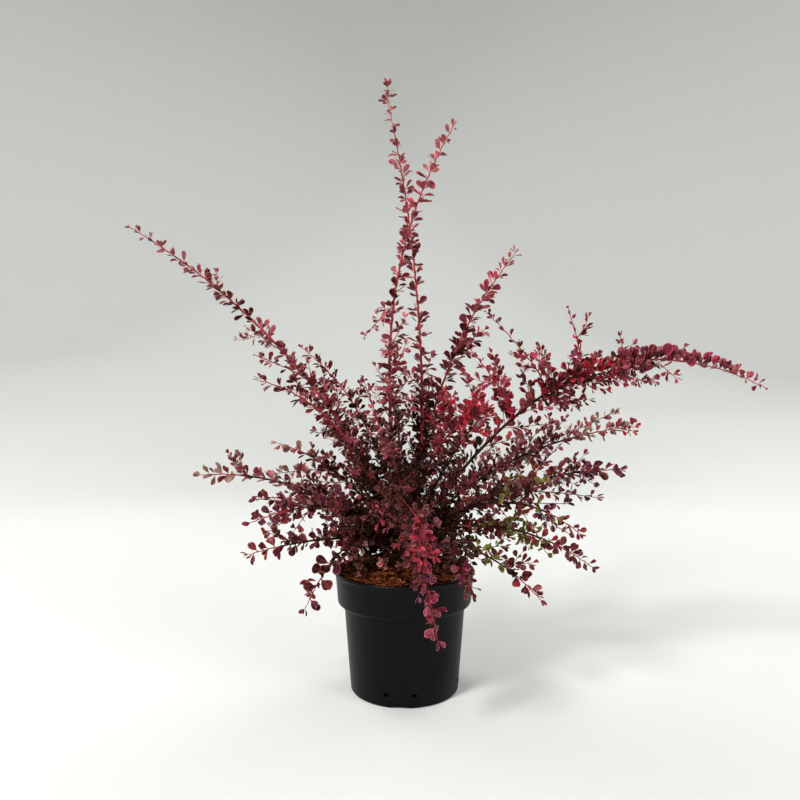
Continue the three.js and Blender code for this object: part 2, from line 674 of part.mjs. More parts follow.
function assemble() {
  const group = new THREE.Group();
  const leafMaterial = new THREE.MeshStandardMaterial({ color: leafColour, roughness: 0.55 });
  const barkMaterial = new THREE.MeshStandardMaterial({ color: barkColour, roughness: 0.7 });
  const stemMaterial = new THREE.MeshStandardMaterial({ color: stemColour, roughness: 0.85 });
  const mixMaterial = new THREE.MeshStandardMaterial({ color: mixColour, roughness: 0.95 });
  const potMaterial = new THREE.MeshStandardMaterial({ color: potColour, roughness: 0.42 });
  const place = (name, solid, material) => {
    const mesh = new THREE.Mesh(geometryOf(solid), material);
    mesh.name = name;
    group.add(mesh);
  };
  place('pot', makePot(), potMaterial);
  place('potting_mix', makeMix(), mixMaterial);
  place('short_stem', makeShortStem(), stemMaterial);
  const socket = makeShortStem(clearance);
  const plants = growSkeleton();
  for (const plant of plants) {
    const leafy = foliage(plants, plant);
    if (plant.limb) {
      const bare = limb(plant.stem, 0, plant.bare, limbSides);
      place(`cane_${plant.name}`, bare.subtract(socket), barkMaterial);
      place(`foliage_${plant.name}`, leafy, leafMaterial);
    } else {
      place(`foliage_${plant.name}`, leafy.subtract(socket), leafMaterial);
    }
  }
  return group;
}

export default assemble();
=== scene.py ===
"""Looks for the potted rose glow barberry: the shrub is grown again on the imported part's stems.

Sizes are millimetres until a mesh is made, and -Y is the front.
"""

import math
import random
from collections import namedtuple
from math import cos, hypot, pi, radians, sin

import bmesh
import bpy
import numpy as np
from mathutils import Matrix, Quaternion, Vector
from numpy.linalg import norm


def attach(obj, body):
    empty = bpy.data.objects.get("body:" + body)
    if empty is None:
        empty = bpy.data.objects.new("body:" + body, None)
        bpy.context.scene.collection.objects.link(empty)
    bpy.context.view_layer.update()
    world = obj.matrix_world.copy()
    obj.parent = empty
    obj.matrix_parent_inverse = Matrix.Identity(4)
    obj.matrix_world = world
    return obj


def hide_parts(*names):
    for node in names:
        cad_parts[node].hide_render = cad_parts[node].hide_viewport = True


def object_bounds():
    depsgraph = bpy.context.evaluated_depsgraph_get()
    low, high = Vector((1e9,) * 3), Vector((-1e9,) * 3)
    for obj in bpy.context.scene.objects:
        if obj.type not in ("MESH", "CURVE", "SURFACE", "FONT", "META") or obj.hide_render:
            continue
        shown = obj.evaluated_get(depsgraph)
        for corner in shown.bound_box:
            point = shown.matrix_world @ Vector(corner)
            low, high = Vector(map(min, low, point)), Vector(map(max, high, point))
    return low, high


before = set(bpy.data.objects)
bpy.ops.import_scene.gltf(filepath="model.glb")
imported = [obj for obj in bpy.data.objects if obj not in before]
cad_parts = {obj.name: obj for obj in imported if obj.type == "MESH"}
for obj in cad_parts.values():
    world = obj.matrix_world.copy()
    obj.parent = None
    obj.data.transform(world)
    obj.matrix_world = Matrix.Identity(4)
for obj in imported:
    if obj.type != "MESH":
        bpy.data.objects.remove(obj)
cad_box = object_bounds()

MM = 0.001
UP = np.array([0.0, 0.0, 1.0])
GOLDEN = radians(137.5)

# Camera, in metres: level, and as high as the middle of the plant
CAMERA_AT = (-0.0048, -0.724, 0.305)
SENSOR = 36.0
LENS = 676.0 / 800.0 * SENSOR

# Pot
RIM_RADIUS = 75.0
BASE_RADIUS = 57.0
BODY_TOP_RADIUS = 64.2
COLLAR_FOOT = 90.0
WALL = 1.4
FLOOR_THICKNESS = 4.6
CHANNEL_TURN = -94.6
CHANNEL_COUNT = 4
CHANNEL_FOOT_WIDTH = 17.0
CHANNEL_TOP_WIDTH = 14.0
CHANNEL_DEPTH = 3.0
CHANNEL_INNER_RADIUS = 16.0
SLOT_TURN = 14.0
SLOT_LEVEL = 13.0
SLOT_SIZE = (5.0, 3.2)
SLOT_CUT = 3.0

# Potting mix and the short stem
MIX_TOP = 128.0
MIX_EDGE = 121.0
MIX_EDGE_RADIUS = 71.4
MIX_UNDERSIDE = 96.0
MIX_RINGS = 34
MIX_SIDES = 96
FIBRE_COUNT = 3600
CHIP_COUNT = 420
LIGHT_FIBRES = 0.45
MOST_REACH = 73.5
LIP_TOP = 125.6
HEAD_RADIUS = 15.5
HEAD_CENTRE = np.array([0.0, 0.0, MIX_TOP + 23.0])
STEM_HEIGHT = 37.0
FLARE_RADIUS = 17.0
FLARE_HEIGHT = 9.0
WAIST_RADIUS = 13.0
STEM_LEAN = 0.03
FOOT_DEPTH = 0.85
FOOT_SPREAD = radians(22.0)
FOOT_ROUNDS = 80

# Stems
TIP_RADIUS = 0.4
TAPER = 0.85
SWAY_SHARE = 0.012
SWAY_WAVES = 1.5
PHASE_STEP = 0.37
BRANCH_BOW = 0.2
BRANCH_THICKNESS = 0.7
TWIG_THICKNESS = 0.6
TWIG_SEED = 1000
TWIG_ROOM = 2.5
FINE_THICKNESS = 0.75
FINE_ROOM = -9.0
FINE_SPACING = 20.0
FINE_LENGTH = 30.0
FINE_FROM = 0.05
INNER_SHARE = 0.42
INNER_SPACING = 10.5
DENSE_SPACING = 8.5
BASAL_SHOOTS = 46
NODE_SPACING = 6.4

# Leaves: their size, from which share a cane, branch, twig and fine twig has them, how far a spray
# runs, and how often a cluster has its spray's tint
LEAF_LENGTH = 12.8
LEAF_WIDTH = (0.36, 0.54)
LEAFY_FROM = (0.05, 0.08, 0.12, 0.2)
SPRAY_RUN = 24.0
SPRAY_TINT = 0.75
SPINE_LENGTH = 6.5
# The plant's middle, where shade falls, by its centre and size: leaves there are dealt darker tints
# and smaller sizes, and fine twigs the darker brown bark; the darker colours are painted shade
SHADE_CENTRE = np.array([20.0, 0.0, 195.0])
SHADE_SIZE = np.array([75.0, 110.0, 78.0])
# The pale colour of the leaves' edges and midribs: partly their own paler margin and midrib, partly
# a painted highlight along the edge
MARGIN_AND_SHEEN_TINT = (228, 158, 150)
MOTTLE_SCALE = 400.0
MOTTLE_SHARE = 0.36

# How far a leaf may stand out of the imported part's box, as a share of the box's side
BOX_SHARE = 0.022
CAD_LOW, CAD_HIGH = map(np.array, cad_box)
BOX_LOW = (CAD_LOW - BOX_SHARE * (CAD_HIGH - CAD_LOW)) / MM
BOX_HIGH = (CAD_HIGH + BOX_SHARE * (CAD_HIGH - CAD_LOW)) / MM

Plant = namedtuple("Plant", "cane stem branches twigs fine")
Cane = namedtuple(
    "Cane",
    "name azimuth reach rise heading launch run radius bare twigs twig_length tone leaf lift fine",
)

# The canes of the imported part, with what the looks add: the tone of their leaves, the size of the
# leaves, how much they turn up, and up to which share of its length a cane carries fine twigs
CANES = [
    Cane("tall", 125, 36, 648, 24, 75, 186, 2.3, 0.24, 0, 46, "rosy_shoot", 1.06, 0.1, 0.24),
    Cane("leaning", 340, 55, 592, 210, 78, 277, 2.2, 0.26, 0, 46, "rosy_shoot", 1.04, 0.1, 0.2),
    Cane("spire", 25, 144, 479, 60, 74, 209, 2, 0.26, 1, 40, "dusty", 1.28, 0.1, 0.26),
    Cane("right_arch", 342, 345, 316, 348, 56, 320, 2.6, 0.22, 2, 50, "arch", 1.1, 1.1, 0.7),
    Cane("right_high", 13, 274, 274, 16, 44, 159, 1.9, 0.2, 2, 60, "tan", 0.95, 0.4, 0.6),
    Cane("right_mid", 352, 223, 233, 352, 34, 150, 1.9, 0.2, 3, 60, "brown", 0.95, 0.3, 0.8),
    Cane("right_low", 331, 187, 181, 328, 38, 140, 1.8, 0.2, 3, 55, "brown", 0.88, 0.3, 0.42),
    Cane("right_low_arch", 11, 217, 116, 13, 20, 119, 1.7, 0.2, 3, 50, "olive", 0.95, 0.2, 0.55),
    Cane("right_droop", 332, 148, 112, 336, 12, 87, 1.5, 0.16, 2, 40, "olive", 1, 0.1, 0.35),
    Cane(
        "front_right_droop", 297, 135, 133, 300, 22, 89, 1.5, 0.16, 2, 40, "magenta", 1.05, 0.1, 0.8
    ),
    Cane("front_droop", 282, 128, 92, 275, 30, 130, 1.7, 0.24, 1, 40, "magenta", 0.94, 0, 0.6),
    Cane("front_red", 276, 168, 196, 250, 48, 143, 1.8, 0.24, 2, 40, "scarlet", 0.82, 0.2, 0.9),
    Cane("front_rise", 296, 160, 298, 286, 62, 135, 1.9, 0.24, 2, 50, "crimson", 0.92, 0.3, 0.9),
    Cane("front_centre", 262, 130, 266, 262, 68, 105, 1.5, 0.2, 2, 45, "wine", 0.98, 0.3, 0.7),
    Cane("left_droop", 202, 108, 94, 206, 26, 76, 1.4, 0.18, 1, 32, "plum", 1.05, 0, 0.3),
    Cane("left_lower", 201, 164, 153, 196, 14, 80, 1.6, 0.18, 2, 40, "plum", 1, 0.2, 0.36),
    Cane("left_low", 218, 178, 194, 222, 40, 111, 1.8, 0.2, 3, 55, "plum", 0.95, 0.3, 0.4),
    Cane("left_long", 188, 211, 228, 186, 36, 140, 1.8, 0.22, 2, 55, "tan", 1.05, 0.5, 0.45),
    Cane("left_upper", 155, 163, 254, 150, 46, 120, 1.7, 0.22, 2, 50, "tan", 0.95, 0.2, 0.34),
    Cane("left_spray", 202, 154, 324, 208, 67, 166, 1.9, 0.22, 2, 48, "wine", 0.98, 0.2, 0.4),
    Cane(
        "far_left_arch", 171, 320, 504, 168, 66, 242, 2.5, 0.2, 2, 48, "red_shoot", 1.05, 0.3, 0.42
    ),
    Cane("upper_left", 138, 166, 368, 122, 68, 158, 1.9, 0.22, 3, 48, "wine", 0.98, 0.2, 0.4),
    Cane("centre_left", 230, 62, 322, 236, 76, 100, 1.5, 0.2, 2, 45, "wine", 0.98, 0.2, 0.7),
    Cane("back_left", 130, 190, 300, 134, 52, 130, 1.8, 0.2, 3, 55, "shade", 1, 0.3, 0.42),
    Cane("back_middle", 95, 200, 330, 92, 58, 150, 1.9, 0.2, 3, 55, "shade", 1, 0.3, 0.4),
    Cane("back_right", 55, 200, 292, 52, 50, 140, 1.8, 0.2, 3, 55, "shade", 1, 0.3, 0.36),
    Cane("back_low_left", 150, 200, 186, 148, 24, 110, 1.6, 0.14, 3, 50, "shade", 1, 0.3, 0.85),
    Cane("back_low_middle", 88, 200, 176, 88, 26, 110, 1.6, 0.14, 3, 50, "shade", 1, 0.3, 0.85),
    Cane("back_low_right", 38, 220, 200, 36, 24, 120, 1.6, 0.14, 3, 50, "green", 0.95, 0.3, 0.85),
    Cane("inner_front", 240, 84, 240, 238, 58, 60, 1.3, 0.2, 2, 32, "shade", 1.05, 0.2, 1),
    Cane("inner_right", 318, 96, 232, 318, 54, 60, 1.3, 0.2, 2, 34, "shade", 1.05, 0.2, 1),
    Cane("inner_left", 180, 84, 246, 180, 60, 60, 1.3, 0.2, 2, 32, "shade", 1.05, 0.2, 0.7),
    Cane("inner_back", 70, 82, 262, 72, 66, 60, 1.3, 0.2, 2, 34, "shade", 1.05, 0.2, 1),
]

# Side branches by cane: the share of its length where one starts, and where its tip is
SIDE_BRANCHES = {
    "right_arch": [
        (0.3, 312, 83, 364), (0.4, 320, 104, 390), (0.5, 338, 172, 394),
        (0.62, 336, 220, 368), (0.48, 338, 248, 322),
    ],
    "right_high": [(0.45, 20, 272, 292)],
    "right_mid": [(0.4, 345, 196, 208)],
    "right_low": [(0.45, 338, 170, 204)],
    "front_rise": [(0.55, 290, 120, 300)],
    "left_low": [(0.5, 208, 160, 210)],
    "far_left_arch": [(0.42, 172, 166, 354), (0.5, 166, 186, 388)],
    "leaning": [(0.5, 200, 44, 372)],
    "left_upper": [(0.5, 165, 150, 222)],
}

# Leaf tints, as screen colours, and how much of the pale edge colour their edges take; that
# pale edge is partly the leaves' paler margin and partly a painted highlight
TINTS = {
    # Near black, dealt where shade falls in the plant's middle and low inner parts: painted shade
    "soot": ((25, 10, 5), 0.14),
    "umber": ((46, 17, 9), 0.28),
    "wine": ((66, 18, 20), 0.44),
    "burgundy": ((98, 24, 34), 0.48),
    "mauve": ((130, 62, 72), 0.5),
    "tan": ((124, 94, 83), 0.38),
    "purple": ((80, 20, 46), 0.48),
    "magenta": ((112, 24, 56), 0.42),
    "crimson": ((138, 16, 42), 0.36),
    "scarlet": ((168, 18, 51), 0.34),
    "rust": ((116, 48, 30), 0.34),
    "bronze": ((76, 55, 22), 0.3),
    "olive": ((116, 114, 42), 0.3),
    "rose": ((146, 46, 68), 0.48),
    "blush": ((166, 90, 98), 0.5),
    "amber": ((196, 100, 46), 0.3),
}

# The tints that a cane's sprays are dealt: in the plant's middle and low on the cane, where the
# darker tints are partly the older leaves' own colour and partly painted shade; along the cane;
# and near its tip
# The darkest tints, dealt in the plant's middle and low on the canes: partly the older leaves' own
# colour, partly painted shade
DARK = "soot umber wine"
TONES = {
    "red_shoot": (DARK, "wine burgundy mauve mauve", "burgundy mauve rose burgundy mauve"),
    "rosy_shoot": (DARK, "wine burgundy mauve mauve", "blush mauve mauve rose blush"),
    "rosy": ("umber wine burgundy", "burgundy crimson wine rose", "rose burgundy mauve crimson"),
    "dusty": ("umber wine soot", "mauve burgundy mauve wine", "blush mauve rose blush"),
    "arch": (DARK, "crimson wine burgundy burgundy", "magenta mauve purple burgundy mauve rose"),
    "tan": (DARK, "burgundy tan mauve wine", "tan mauve tan burgundy mauve"),
    "brown": ("soot umber bronze", "rust tan wine bronze rust umber", "wine purple burgundy"),
    "olive": (
        "soot soot bronze umber", "burgundy umber olive umber bronze", "burgundy wine burgundy"
    ),
    "green": ("soot bronze olive", "olive bronze olive umber", "olive wine bronze"),
    "wine": (DARK, "wine burgundy umber mauve", "burgundy wine mauve"),
    "plum": ("soot umber bronze wine", "wine burgundy purple", "burgundy purple burgundy"),
    "magenta": (DARK, "purple burgundy wine", "purple magenta burgundy burgundy"),
    "scarlet": (DARK, "wine burgundy wine", "burgundy crimson burgundy"),
    "crimson": (DARK, "wine burgundy wine", "crimson burgundy crimson"),
    "shade": ("soot soot umber bronze", "umber wine umber bronze", "wine burgundy mauve"),
}

# Places with a colour of their own, by cane: from and to share, below which height, and tints.
# The dark patches with near-black leaves, low on right_low, right_low_arch, right_droop and
# front_right_droop, and on front_red above 208 mm in the plant's middle, are painted shade.
PATCHES = {
    "right_high": [(0.92, 1.01, 999, "crimson burgundy crimson")],
    "right_arch": [
        (0.5, 0.59, 999, "crimson burgundy crimson wine scarlet"),
        (0.59, 0.73, 999, "purple burgundy mauve magenta"),
    ],
    "front_droop": [
        (0, 0.86, 999, "purple purple magenta wine"),
        (0.86, 1.01, 999, "magenta burgundy magenta magenta"),
    ],
    "front_red": [
        (0.3, 1.01, 126, "magenta purple crimson"),
        (0.3, 1.01, 192, "scarlet crimson scarlet"),
        (0.3, 1.01, 208, "crimson magenta purple magenta"),
        # Above 208 mm, in the plant's middle: painted shade
        (0.3, 1.01, 999, "wine soot umber burgundy umber"),
    ],
    "front_rise": [(0.84, 1.01, 999, "crimson scarlet crimson crimson magenta")],
    "inner_right": [(0.45, 1.01, 999, "burgundy wine magenta wine")],
    "right_low": [
        (0, 0.36, 999, "umber burgundy soot wine"),
        (0.36, 0.74, 999, "burgundy olive umber rust wine"),
    ],
    "right_low_arch": [
        (0, 0.22, 999, "soot umber bronze soot"),
        (0.22, 0.58, 999, "olive crimson olive burgundy olive rose"),
        (0.58, 0.8, 999, "burgundy crimson olive rose"),
    ],
    "front_right_droop": [(0, 0.6, 999, "umber soot bronze soot")],
    "right_droop": [(0, 0.3, 999, "soot umber soot"), (0.3, 0.6, 999, "olive olive bronze umber")],
}

# Single amber leaves by cane: from and to share, and how often
ODD_LEAVES = {"right_arch": (0.58, 0.72, 0.03), "right_mid": (0.4, 0.7, 0.02)}
ODD_SIZE = 0.7

# How the leaves of a tone stand: the least and most lean from the stem, and how strongly a blade is
# held level, turned along the stem and turned at random
HABIT = {
    "red_shoot": (50, 86, 0.95, 0.3, 0.42),
    "rosy_shoot": (50, 86, 0.85, 0.3, 0.5),
    "dusty": (48, 84, 0.9, 0.3, 0.45),
    "wine": (44, 84, 0.75, 0.35, 0.5),
    "arch": (30, 80, 0.3, 0.1, 0.9),
    "tan": (34, 78, 0.35, 0.2, 0.8),
}
OTHER_HABIT = (36, 82, 0.5, 0.3, 0.75)

# How much rounder the leaves of a tone are
ROUND = {"plum": 1.25, "magenta": 1.3, "olive": 1.15, "brown": 1.1}

# From which share a tone's bark is red, and the tones whose twigs stay brown
RED_FROM = {
    "red_shoot": 0.24, "rosy_shoot": 0.24, "dusty": 0.3, "scarlet": 0.5, "crimson": 0.5,
    "arch": 0.66, "wine": 0.42,
}
RED_FROM_OTHERS = 0.8
BROWN_TWIGS = ("brown", "olive", "green", "shade", "tan", "plum")

# Canes whose leaves get small towards the tip: over how many millimetres, and how small there
SLENDER = {
    "tall": (110, 0.52), "leaning": (60, 0.62), "spire": (80, 0.6), "far_left_arch": (100, 0.55),
    "right_arch": (70, 0.5), "front_centre": (50, 0.5), "centre_left": (60, 0.5),
}
OTHER_TIPS = (25, 0.85)
TWIG_TIPS = (14, 0.75)

# Canes whose outer leaves are bigger and rounder: from which share, and how much of each
BIG_LEAVES = {
    "right_arch": (0.62, 1.06, 1.42),
    "right_mid": (0.78, 1.15, 1.2),
    "left_droop": (0.3, 1.14, 1.12),
}

# Side branches with fewer and smaller leaves: how many at a node, and their size
BRANCH_LOOK = {
    "right_mid": (3, 0.82), "right_high": (4, 0.86), "right_low": (2, 0.78), "left_low": (3, 0.9),
    "right_arch": (4, 0.86),
}

# How side branches and twigs differ from the cane that carries them: tone, leaf size, lift
SIDE_LOOK = {"right_arch": ("rosy", 1.0, 0.2)}

# Canes whose own leaves stand closer or wider than usual: from which share, and how much
CLOSE = {
    "right_arch": (0.5, 0.8), "left_low": (0, 1.1), "left_lower": (0, 0.85),
    "left_droop": (0.25, 1.2), "right_low_arch": (0.15, 0.84), "right_droop": (0.1, 0.95),
    "front_droop": (0, 0.8), "front_right_droop": (0, 0.85), "right_mid": (0, 0.9),
    "tall": (0.25, 1.1), "spire": (0.3, 0.9), "back_left": (0.55, 1.7),
    "back_low_left": (0.5, 1.7), "back_right": (0.35, 1.4), "back_middle": (0.4, 1.3),
}

# Canes that are nearly bare for a while, and those where fine twigs stand close: from and to share
SPARSE = {"right_arch": (0.14, 0.4), "back_left": (0.7, 1.0), "back_low_left": (0.6, 1.0)}
DENSE = {
    "front_red": (0.6, 0.98), "front_rise": (0.68, 0.95), "right_mid": (0.6, 0.84),
    "right_arch": (0.4, 0.68), "right_high": (0.3, 0.55), "right_low_arch": (0.36, 0.62),
}

# Twigs of the part's rule that the looks cut short: cane, which one, to what share
SHORTENED = {
    ("right_arch", 1): 0.4, ("far_left_arch", 1): 0.45, ("left_upper", 1): 0.55,
    ("right_mid", 2): 0.55, ("right_low_arch", 2): 0.5,
}

# Canes whose bark is drawn slimmer past the foot than the part's own rule has it
SLIM = {"right_arch": 0.68}

# Twigs of the looks alone that stand or hang where the photograph shows them, by cane: share,
# azimuth, slope and length
PLACED_TWIGS = {
    "right_arch": [
        (0.17, 120, 70, 58), (0.22, 345, 16, 44), (0.25, 165, 66, 72), (0.28, 335, 6, 52),
        (0.29, 150, 80, 66), (0.31, 150, 72, 72), (0.34, 348, 10, 50), (0.37, 120, 70, 56),
        (0.4, 340, -4, 46), (0.44, 150, 62, 44), (0.48, 325, -14, 38), (0.56, 330, -30, 28),
        (0.61, 300, -42, 26), (0.66, 335, -46, 28), (0.72, 320, -42, 26),
    ],
    "front_red": [
        (0.42, 190, -44, 28), (0.5, 192, -52, 28), (0.58, 195, -60, 30), (0.66, 200, -68, 30),
        (0.73, 200, -74, 32), (0.79, 205, -78, 34), (0.85, 215, -80, 34), (0.9, 240, -80, 32),
        (0.93, 310, -74, 30), (0.95, 262, -64, 28), (0.97, 300, -52, 26), (0.98, 250, -40, 24),
        (0.99, 275, -78, 28),
    ],
    "front_rise": [(0.86, 330, 20, 20), (0.9, 200, 40, 18), (0.94, 350, -20, 18)],
    "right_high": [(0.9, 50, 10, 14), (0.94, 330, -12, 14), (0.96, 20, 30, 12)],
    "right_low": [(0.5, 330, -48, 24), (0.62, 345, -55, 22)],
    "tall": [(0.975, 125, 84, 25)],
    "spire": [(0.58, 0, 36, 40)],
    "left_droop": [(0.3, 215, -42, 22), (0.82, 190, -60, 16)],
    "inner_front": [(0.3, 235, -35, 40)],
    "left_low": [
        (0.16, 232, -30, 40), (0.24, 240, -42, 44), (0.36, 225, -52, 36), (0.46, 215, -58, 32),
        (0.66, 220, -48, 28),
    ],
    "left_lower": [(0.3, 190, 62, 30), (0.42, 215, 50, 28)],
    "front_droop": [(0.52, 215, -35, 26), (0.6, 235, -60, 26), (0.7, 225, -70, 22)],
}

# The material of each piece but the leaves: its name, three colours and their places in the noise,
# the noise's scale, the roughness, the relief's strength and its depth in metres, the fine noise's
# scale, the specular level, and how the noise is stretched round and along a stem
EVEN = (0.3, 0.55, 0.75)
LATE = (0.3, 0.55, 0.78)
BARK = (4, 0.8, 1)
SURFACES = {
    "pot_shell": (
        "pot_black_plastic", ((9, 6, 9), (12, 9, 13), (18, 14, 20)), (0.3, 0.6, 0.8),
        45.0, (0.32, 0.46), (0.12, 0.0006), 900.0, 0.19,
    ),
    "mix_bed": (
        "mix_dark_coir", ((13, 5, 3), (30, 13, 8), (60, 31, 18)), (0.35, 0.55, 0.75),
        420.0, (0.8, 1.0), (0.8, 0.0012), 1300.0, 0.1,
    ),
    "coir_fibres_light": (
        "coir_light", ((100, 52, 30), (150, 86, 52), (200, 134, 90)), EVEN,
        160.0, (0.6, 0.85), (0.3, 0.0003), 2600.0, 0.12,
    ),
    "coir_fibres_dark": (
        "coir_dark", ((30, 12, 7), (56, 26, 14), (94, 50, 28)), EVEN,
        160.0, (0.6, 0.85), (0.3, 0.0003), 2600.0, 0.12,
    ),
    "bark_chips": (
        "bark_chips", ((58, 28, 18), (110, 58, 30), (158, 94, 52)), EVEN,
        240.0, (0.7, 0.95), (0.6, 0.0006), 1400.0, 0.12,
    ),
    "stem_bark": (
        "stem_bark", ((44, 28, 22), (84, 56, 42), (124, 94, 72)), EVEN,
        2.2, (0.75, 0.95), (0.8, 0.0012), 7.0, 0.25, (9, 1, 1),
    ),
    "cane_bark": (
        "cane_old_bark", ((30, 13, 11), (54, 24, 20), (88, 46, 36)), EVEN,
        1.6, (0.5, 0.75), (0.5, 0.0005), 6.0, 0.2, BARK,
    ),
    "shoot_bark": (
        "shoot_red_bark", ((112, 22, 34), (154, 40, 52), (196, 92, 92)), LATE,
        1.4, (0.4, 0.62), (0.4, 0.0003), 6.0, 0.35, BARK,
    ),
    "twig_bark": (
        "twig_brown_bark", ((40, 18, 15), (72, 32, 28), (108, 58, 48)), LATE,
        1.4, (0.45, 0.66), (0.4, 0.0003), 6.0, 0.2, BARK,
    ),
    "spines": (
        "spine", ((120, 60, 44), (164, 92, 66), (196, 130, 92)), EVEN,
        300.0, (0.4, 0.6), (0.2, 0.0002), 2000.0, 0.5,
    ),
}


def screen(colour):
    """A screen colour as a linear one."""
    return tuple(
        c / 255 / 12.92 if c < 10.3 else ((c / 255 + 0.055) / 1.055) ** 2.4 for c in colour
    )


def seeded_numbers(seed):
    """The part's own generator: the same numbers on every run."""
    mask = 0xFFFFFFFF
    state = seed & mask

    def draw():
        nonlocal state
        state = (state + 0x6D2B79F5) & mask
        mixed = ((state ^ (state >> 15)) * (state | 1)) & mask
        mixed ^= (mixed + ((mixed ^ (mixed >> 7)) * (mixed | 61) & mask)) & mask
        return ((mixed ^ (mixed >> 14)) & mask) / 4294967296

    return draw


def between(low, high, share):
    return low + (high - low) * share


def unit(vector):
    return vector / max(1e-9, float(norm(vector)))


def polar(reach, turn):
    return reach * cos(turn), reach * sin(turn)


def around(azimuth, reach, height):
    return np.array([*polar(reach, radians(azimuth)), height])


def direction(azimuth, slope):
    tilt = radians(slope)
    return around(azimuth, cos(tilt), sin(tilt))


def steps_of(points):
    return norm(np.diff(points, axis=0), axis=1)


def run_of(points):
    """How far along the line each point lies."""
    return np.concatenate([[0.0], np.cumsum(steps_of(points))])


# Stems


class Stem:
    """A stem that bends from start by way of turn to tip, with a gentle sway."""

    def __init__(self, start, turn, tip, radius, phase):
        t = np.linspace(0, 1, 121)[:, None]
        curve = (1 - t) ** 2 * start + 2 * (1 - t) * t * turn + t**2 * tip
        length = float(steps_of(curve).sum())
        chord = unit(tip - start)
        side = np.cross(turn - start, chord)
        if norm(side) < 1e-3 * length:
            side = np.cross(UP, chord)
        side = unit(side)
        wave = np.sin(2 * np.pi * (SWAY_WAVES * t + phase)) - sin(2 * pi * phase)
        self.points = curve + SWAY_SHARE * length * t * (1.4 - t) * wave * side
        self.shares = t[:, 0]
        self.side = side
        self.radius = radius
        self.run = run_of(self.points)
        self.length = float(self.run[-1])

    def point(self, t):
        return np.stack([np.interp(t, self.shares, self.points[:, k]) for k in range(3)], axis=-1)

    def share_at(self, run):
        return np.interp(run, self.run, self.shares)

    def frame(self, t):
        along = unit(self.point(min(1, t + 0.01)) - self.point(max(0, t - 0.01)))
        over = unit(np.cross(along, self.side))
        return along, np.cross(over, along), over

    def thickness(self, t):
        return TIP_RADIUS + (self.radius - TIP_RADIUS) * np.maximum(0, 1 - t) ** TAPER


def leaning(axes, turn, lean):
    along, across, over = axes
    outward = across * cos(turn) + over * sin(turn)
    return along * cos(lean) + outward * sin(lean)


def spread_feet():
    """Where the canes stand on the stem's head: those that are too close push each other apart."""
    feet = [Vector(direction(cane.heading, cane.launch)) for cane in CANES]
    for _ in range(FOOT_ROUNDS):
        for index, foot in enumerate(feet):
            for other in feet[index + 1 :]:
                short = FOOT_SPREAD - foot.angle(other)
                if short > 0:
                    axis = foot.cross(other).normalized()
                    foot.rotate(Quaternion(axis, -0.5 * short))
                    other.rotate(Quaternion(axis, 0.5 * short))
    return [np.array(foot) for foot in feet]


class Space:
    """Tells how near a point is to each plant's stems, to keep twigs in their own cane's space."""

    def __init__(self):
        self.parts = []

    def add(self, owner, stem):
        stops = np.linspace(0, 1, max(3, round(stem.length / 12)) + 1)
        points = stem.point(stops)
        owners = np.full(len(stops) - 1, owner)
        self.parts.append((points[:-1], points[1:], stem.thickness(stops[:-1]), owners))

    def close(self):
        """Gathers the starts, ends, radii and owners of all straight parts."""
        self.a, self.b, self.r, self.who = (np.concatenate(rows) for rows in zip(*self.parts))

    def gaps(self, point):
        way = self.b - self.a
        share = ((point - self.a) * way).sum(1) / np.maximum(1e-9, (way * way).sum(1))
        nearest = self.a + way * np.clip(share, 0, 1)[:, None]
        gap = norm(point - nearest, axis=1) - self.r
        best = np.full(len(CANES), np.inf)
        np.minimum.at(best, self.who, gap)
        return best

    def free(self, owner, point, margin):
        if in_pot(point, 2.0) or point[2] < 4:
            return False
        if norm(point - HEAD_CENTRE) < HEAD_RADIUS + 4:
            return False
        gaps = self.gaps(point)
        own = gaps[owner]
        gaps[owner] = np.inf
        return own > 1.5 and gaps.min() > own + margin


def in_pot(point, margin):
    return hypot(point[0], point[1]) < RIM_RADIUS + margin and point[2] < MIX_TOP + margin


def twig_at(stem, t, turn, lean, length, phase, thickness=TWIG_THICKNESS):
    axes = stem.frame(t)
    leaving = leaning(axes, turn, lean)
    start = stem.point(t)
    bend = start + leaving * (0.5 * length)
    tip = bend + leaving * (0.42 * length) + axes[0] * (0.2 * length) + UP * (0.1 * length)
    return Stem(start, bend, tip, thickness * float(stem.thickness(t)), phase)


def twig_towards(stem, t, way, length):
    """A twig that leaves its stem as nearly in a given direction as the twigs' lean allows."""
    along, across, over = axes = stem.frame(t)
    turn = math.atan2(float(way @ over), float(way @ across))
    lean = min(radians(72), math.acos(float(np.clip(way @ along, -1, 1))))
    start = stem.point(t)
    bend = start + leaning(axes, turn, lean) * (0.45 * length)
    return Stem(start, bend, bend + way * (0.55 * length), 0.7, t)


def grow():
    """The plants: each branch or twig comes with the share of its cane where it starts."""
    plants = []
    for index, (cane, foot) in enumerate(zip(CANES, spread_feet())):
        start = HEAD_CENTRE + foot * HEAD_RADIUS * FOOT_DEPTH
        turn = HEAD_CENTRE + direction(cane.heading, cane.launch) * cane.run
        tip = around(cane.azimuth, cane.reach, cane.rise)
        stem = Stem(start, turn, tip, cane.radius, (index * PHASE_STEP) % 1)
        plant = Plant(cane, stem, [], [], [])
        for at, *place in SIDE_BRANCHES.get(cane.name, ()):
            start = stem.point(at)
            tip = around(*place)
            bow = BRANCH_BOW * float(norm(tip - start))
            turn = start + stem.frame(at)[0] * bow
            radius = BRANCH_THICKNESS * float(stem.thickness(at))
            plant.branches.append((Stem(start, turn, tip, radius, at), at))
        plants.append(plant)
    space = Space()
    for owner, plant in enumerate(plants):
        for stem, _ in [(plant.stem, 0), *plant.branches]:
            space.add(owner, stem)
    space.close()
    for owner, plant in enumerate(plants):
        grow_twigs(space, owner, plant)
    for owner, plant in enumerate(plants):
        for twig, _ in plant.twigs:
            space.add(owner, twig)
    space.close()
    for owner, plant in enumerate(plants):
        grow_fine(space, owner, plant)
    return plants


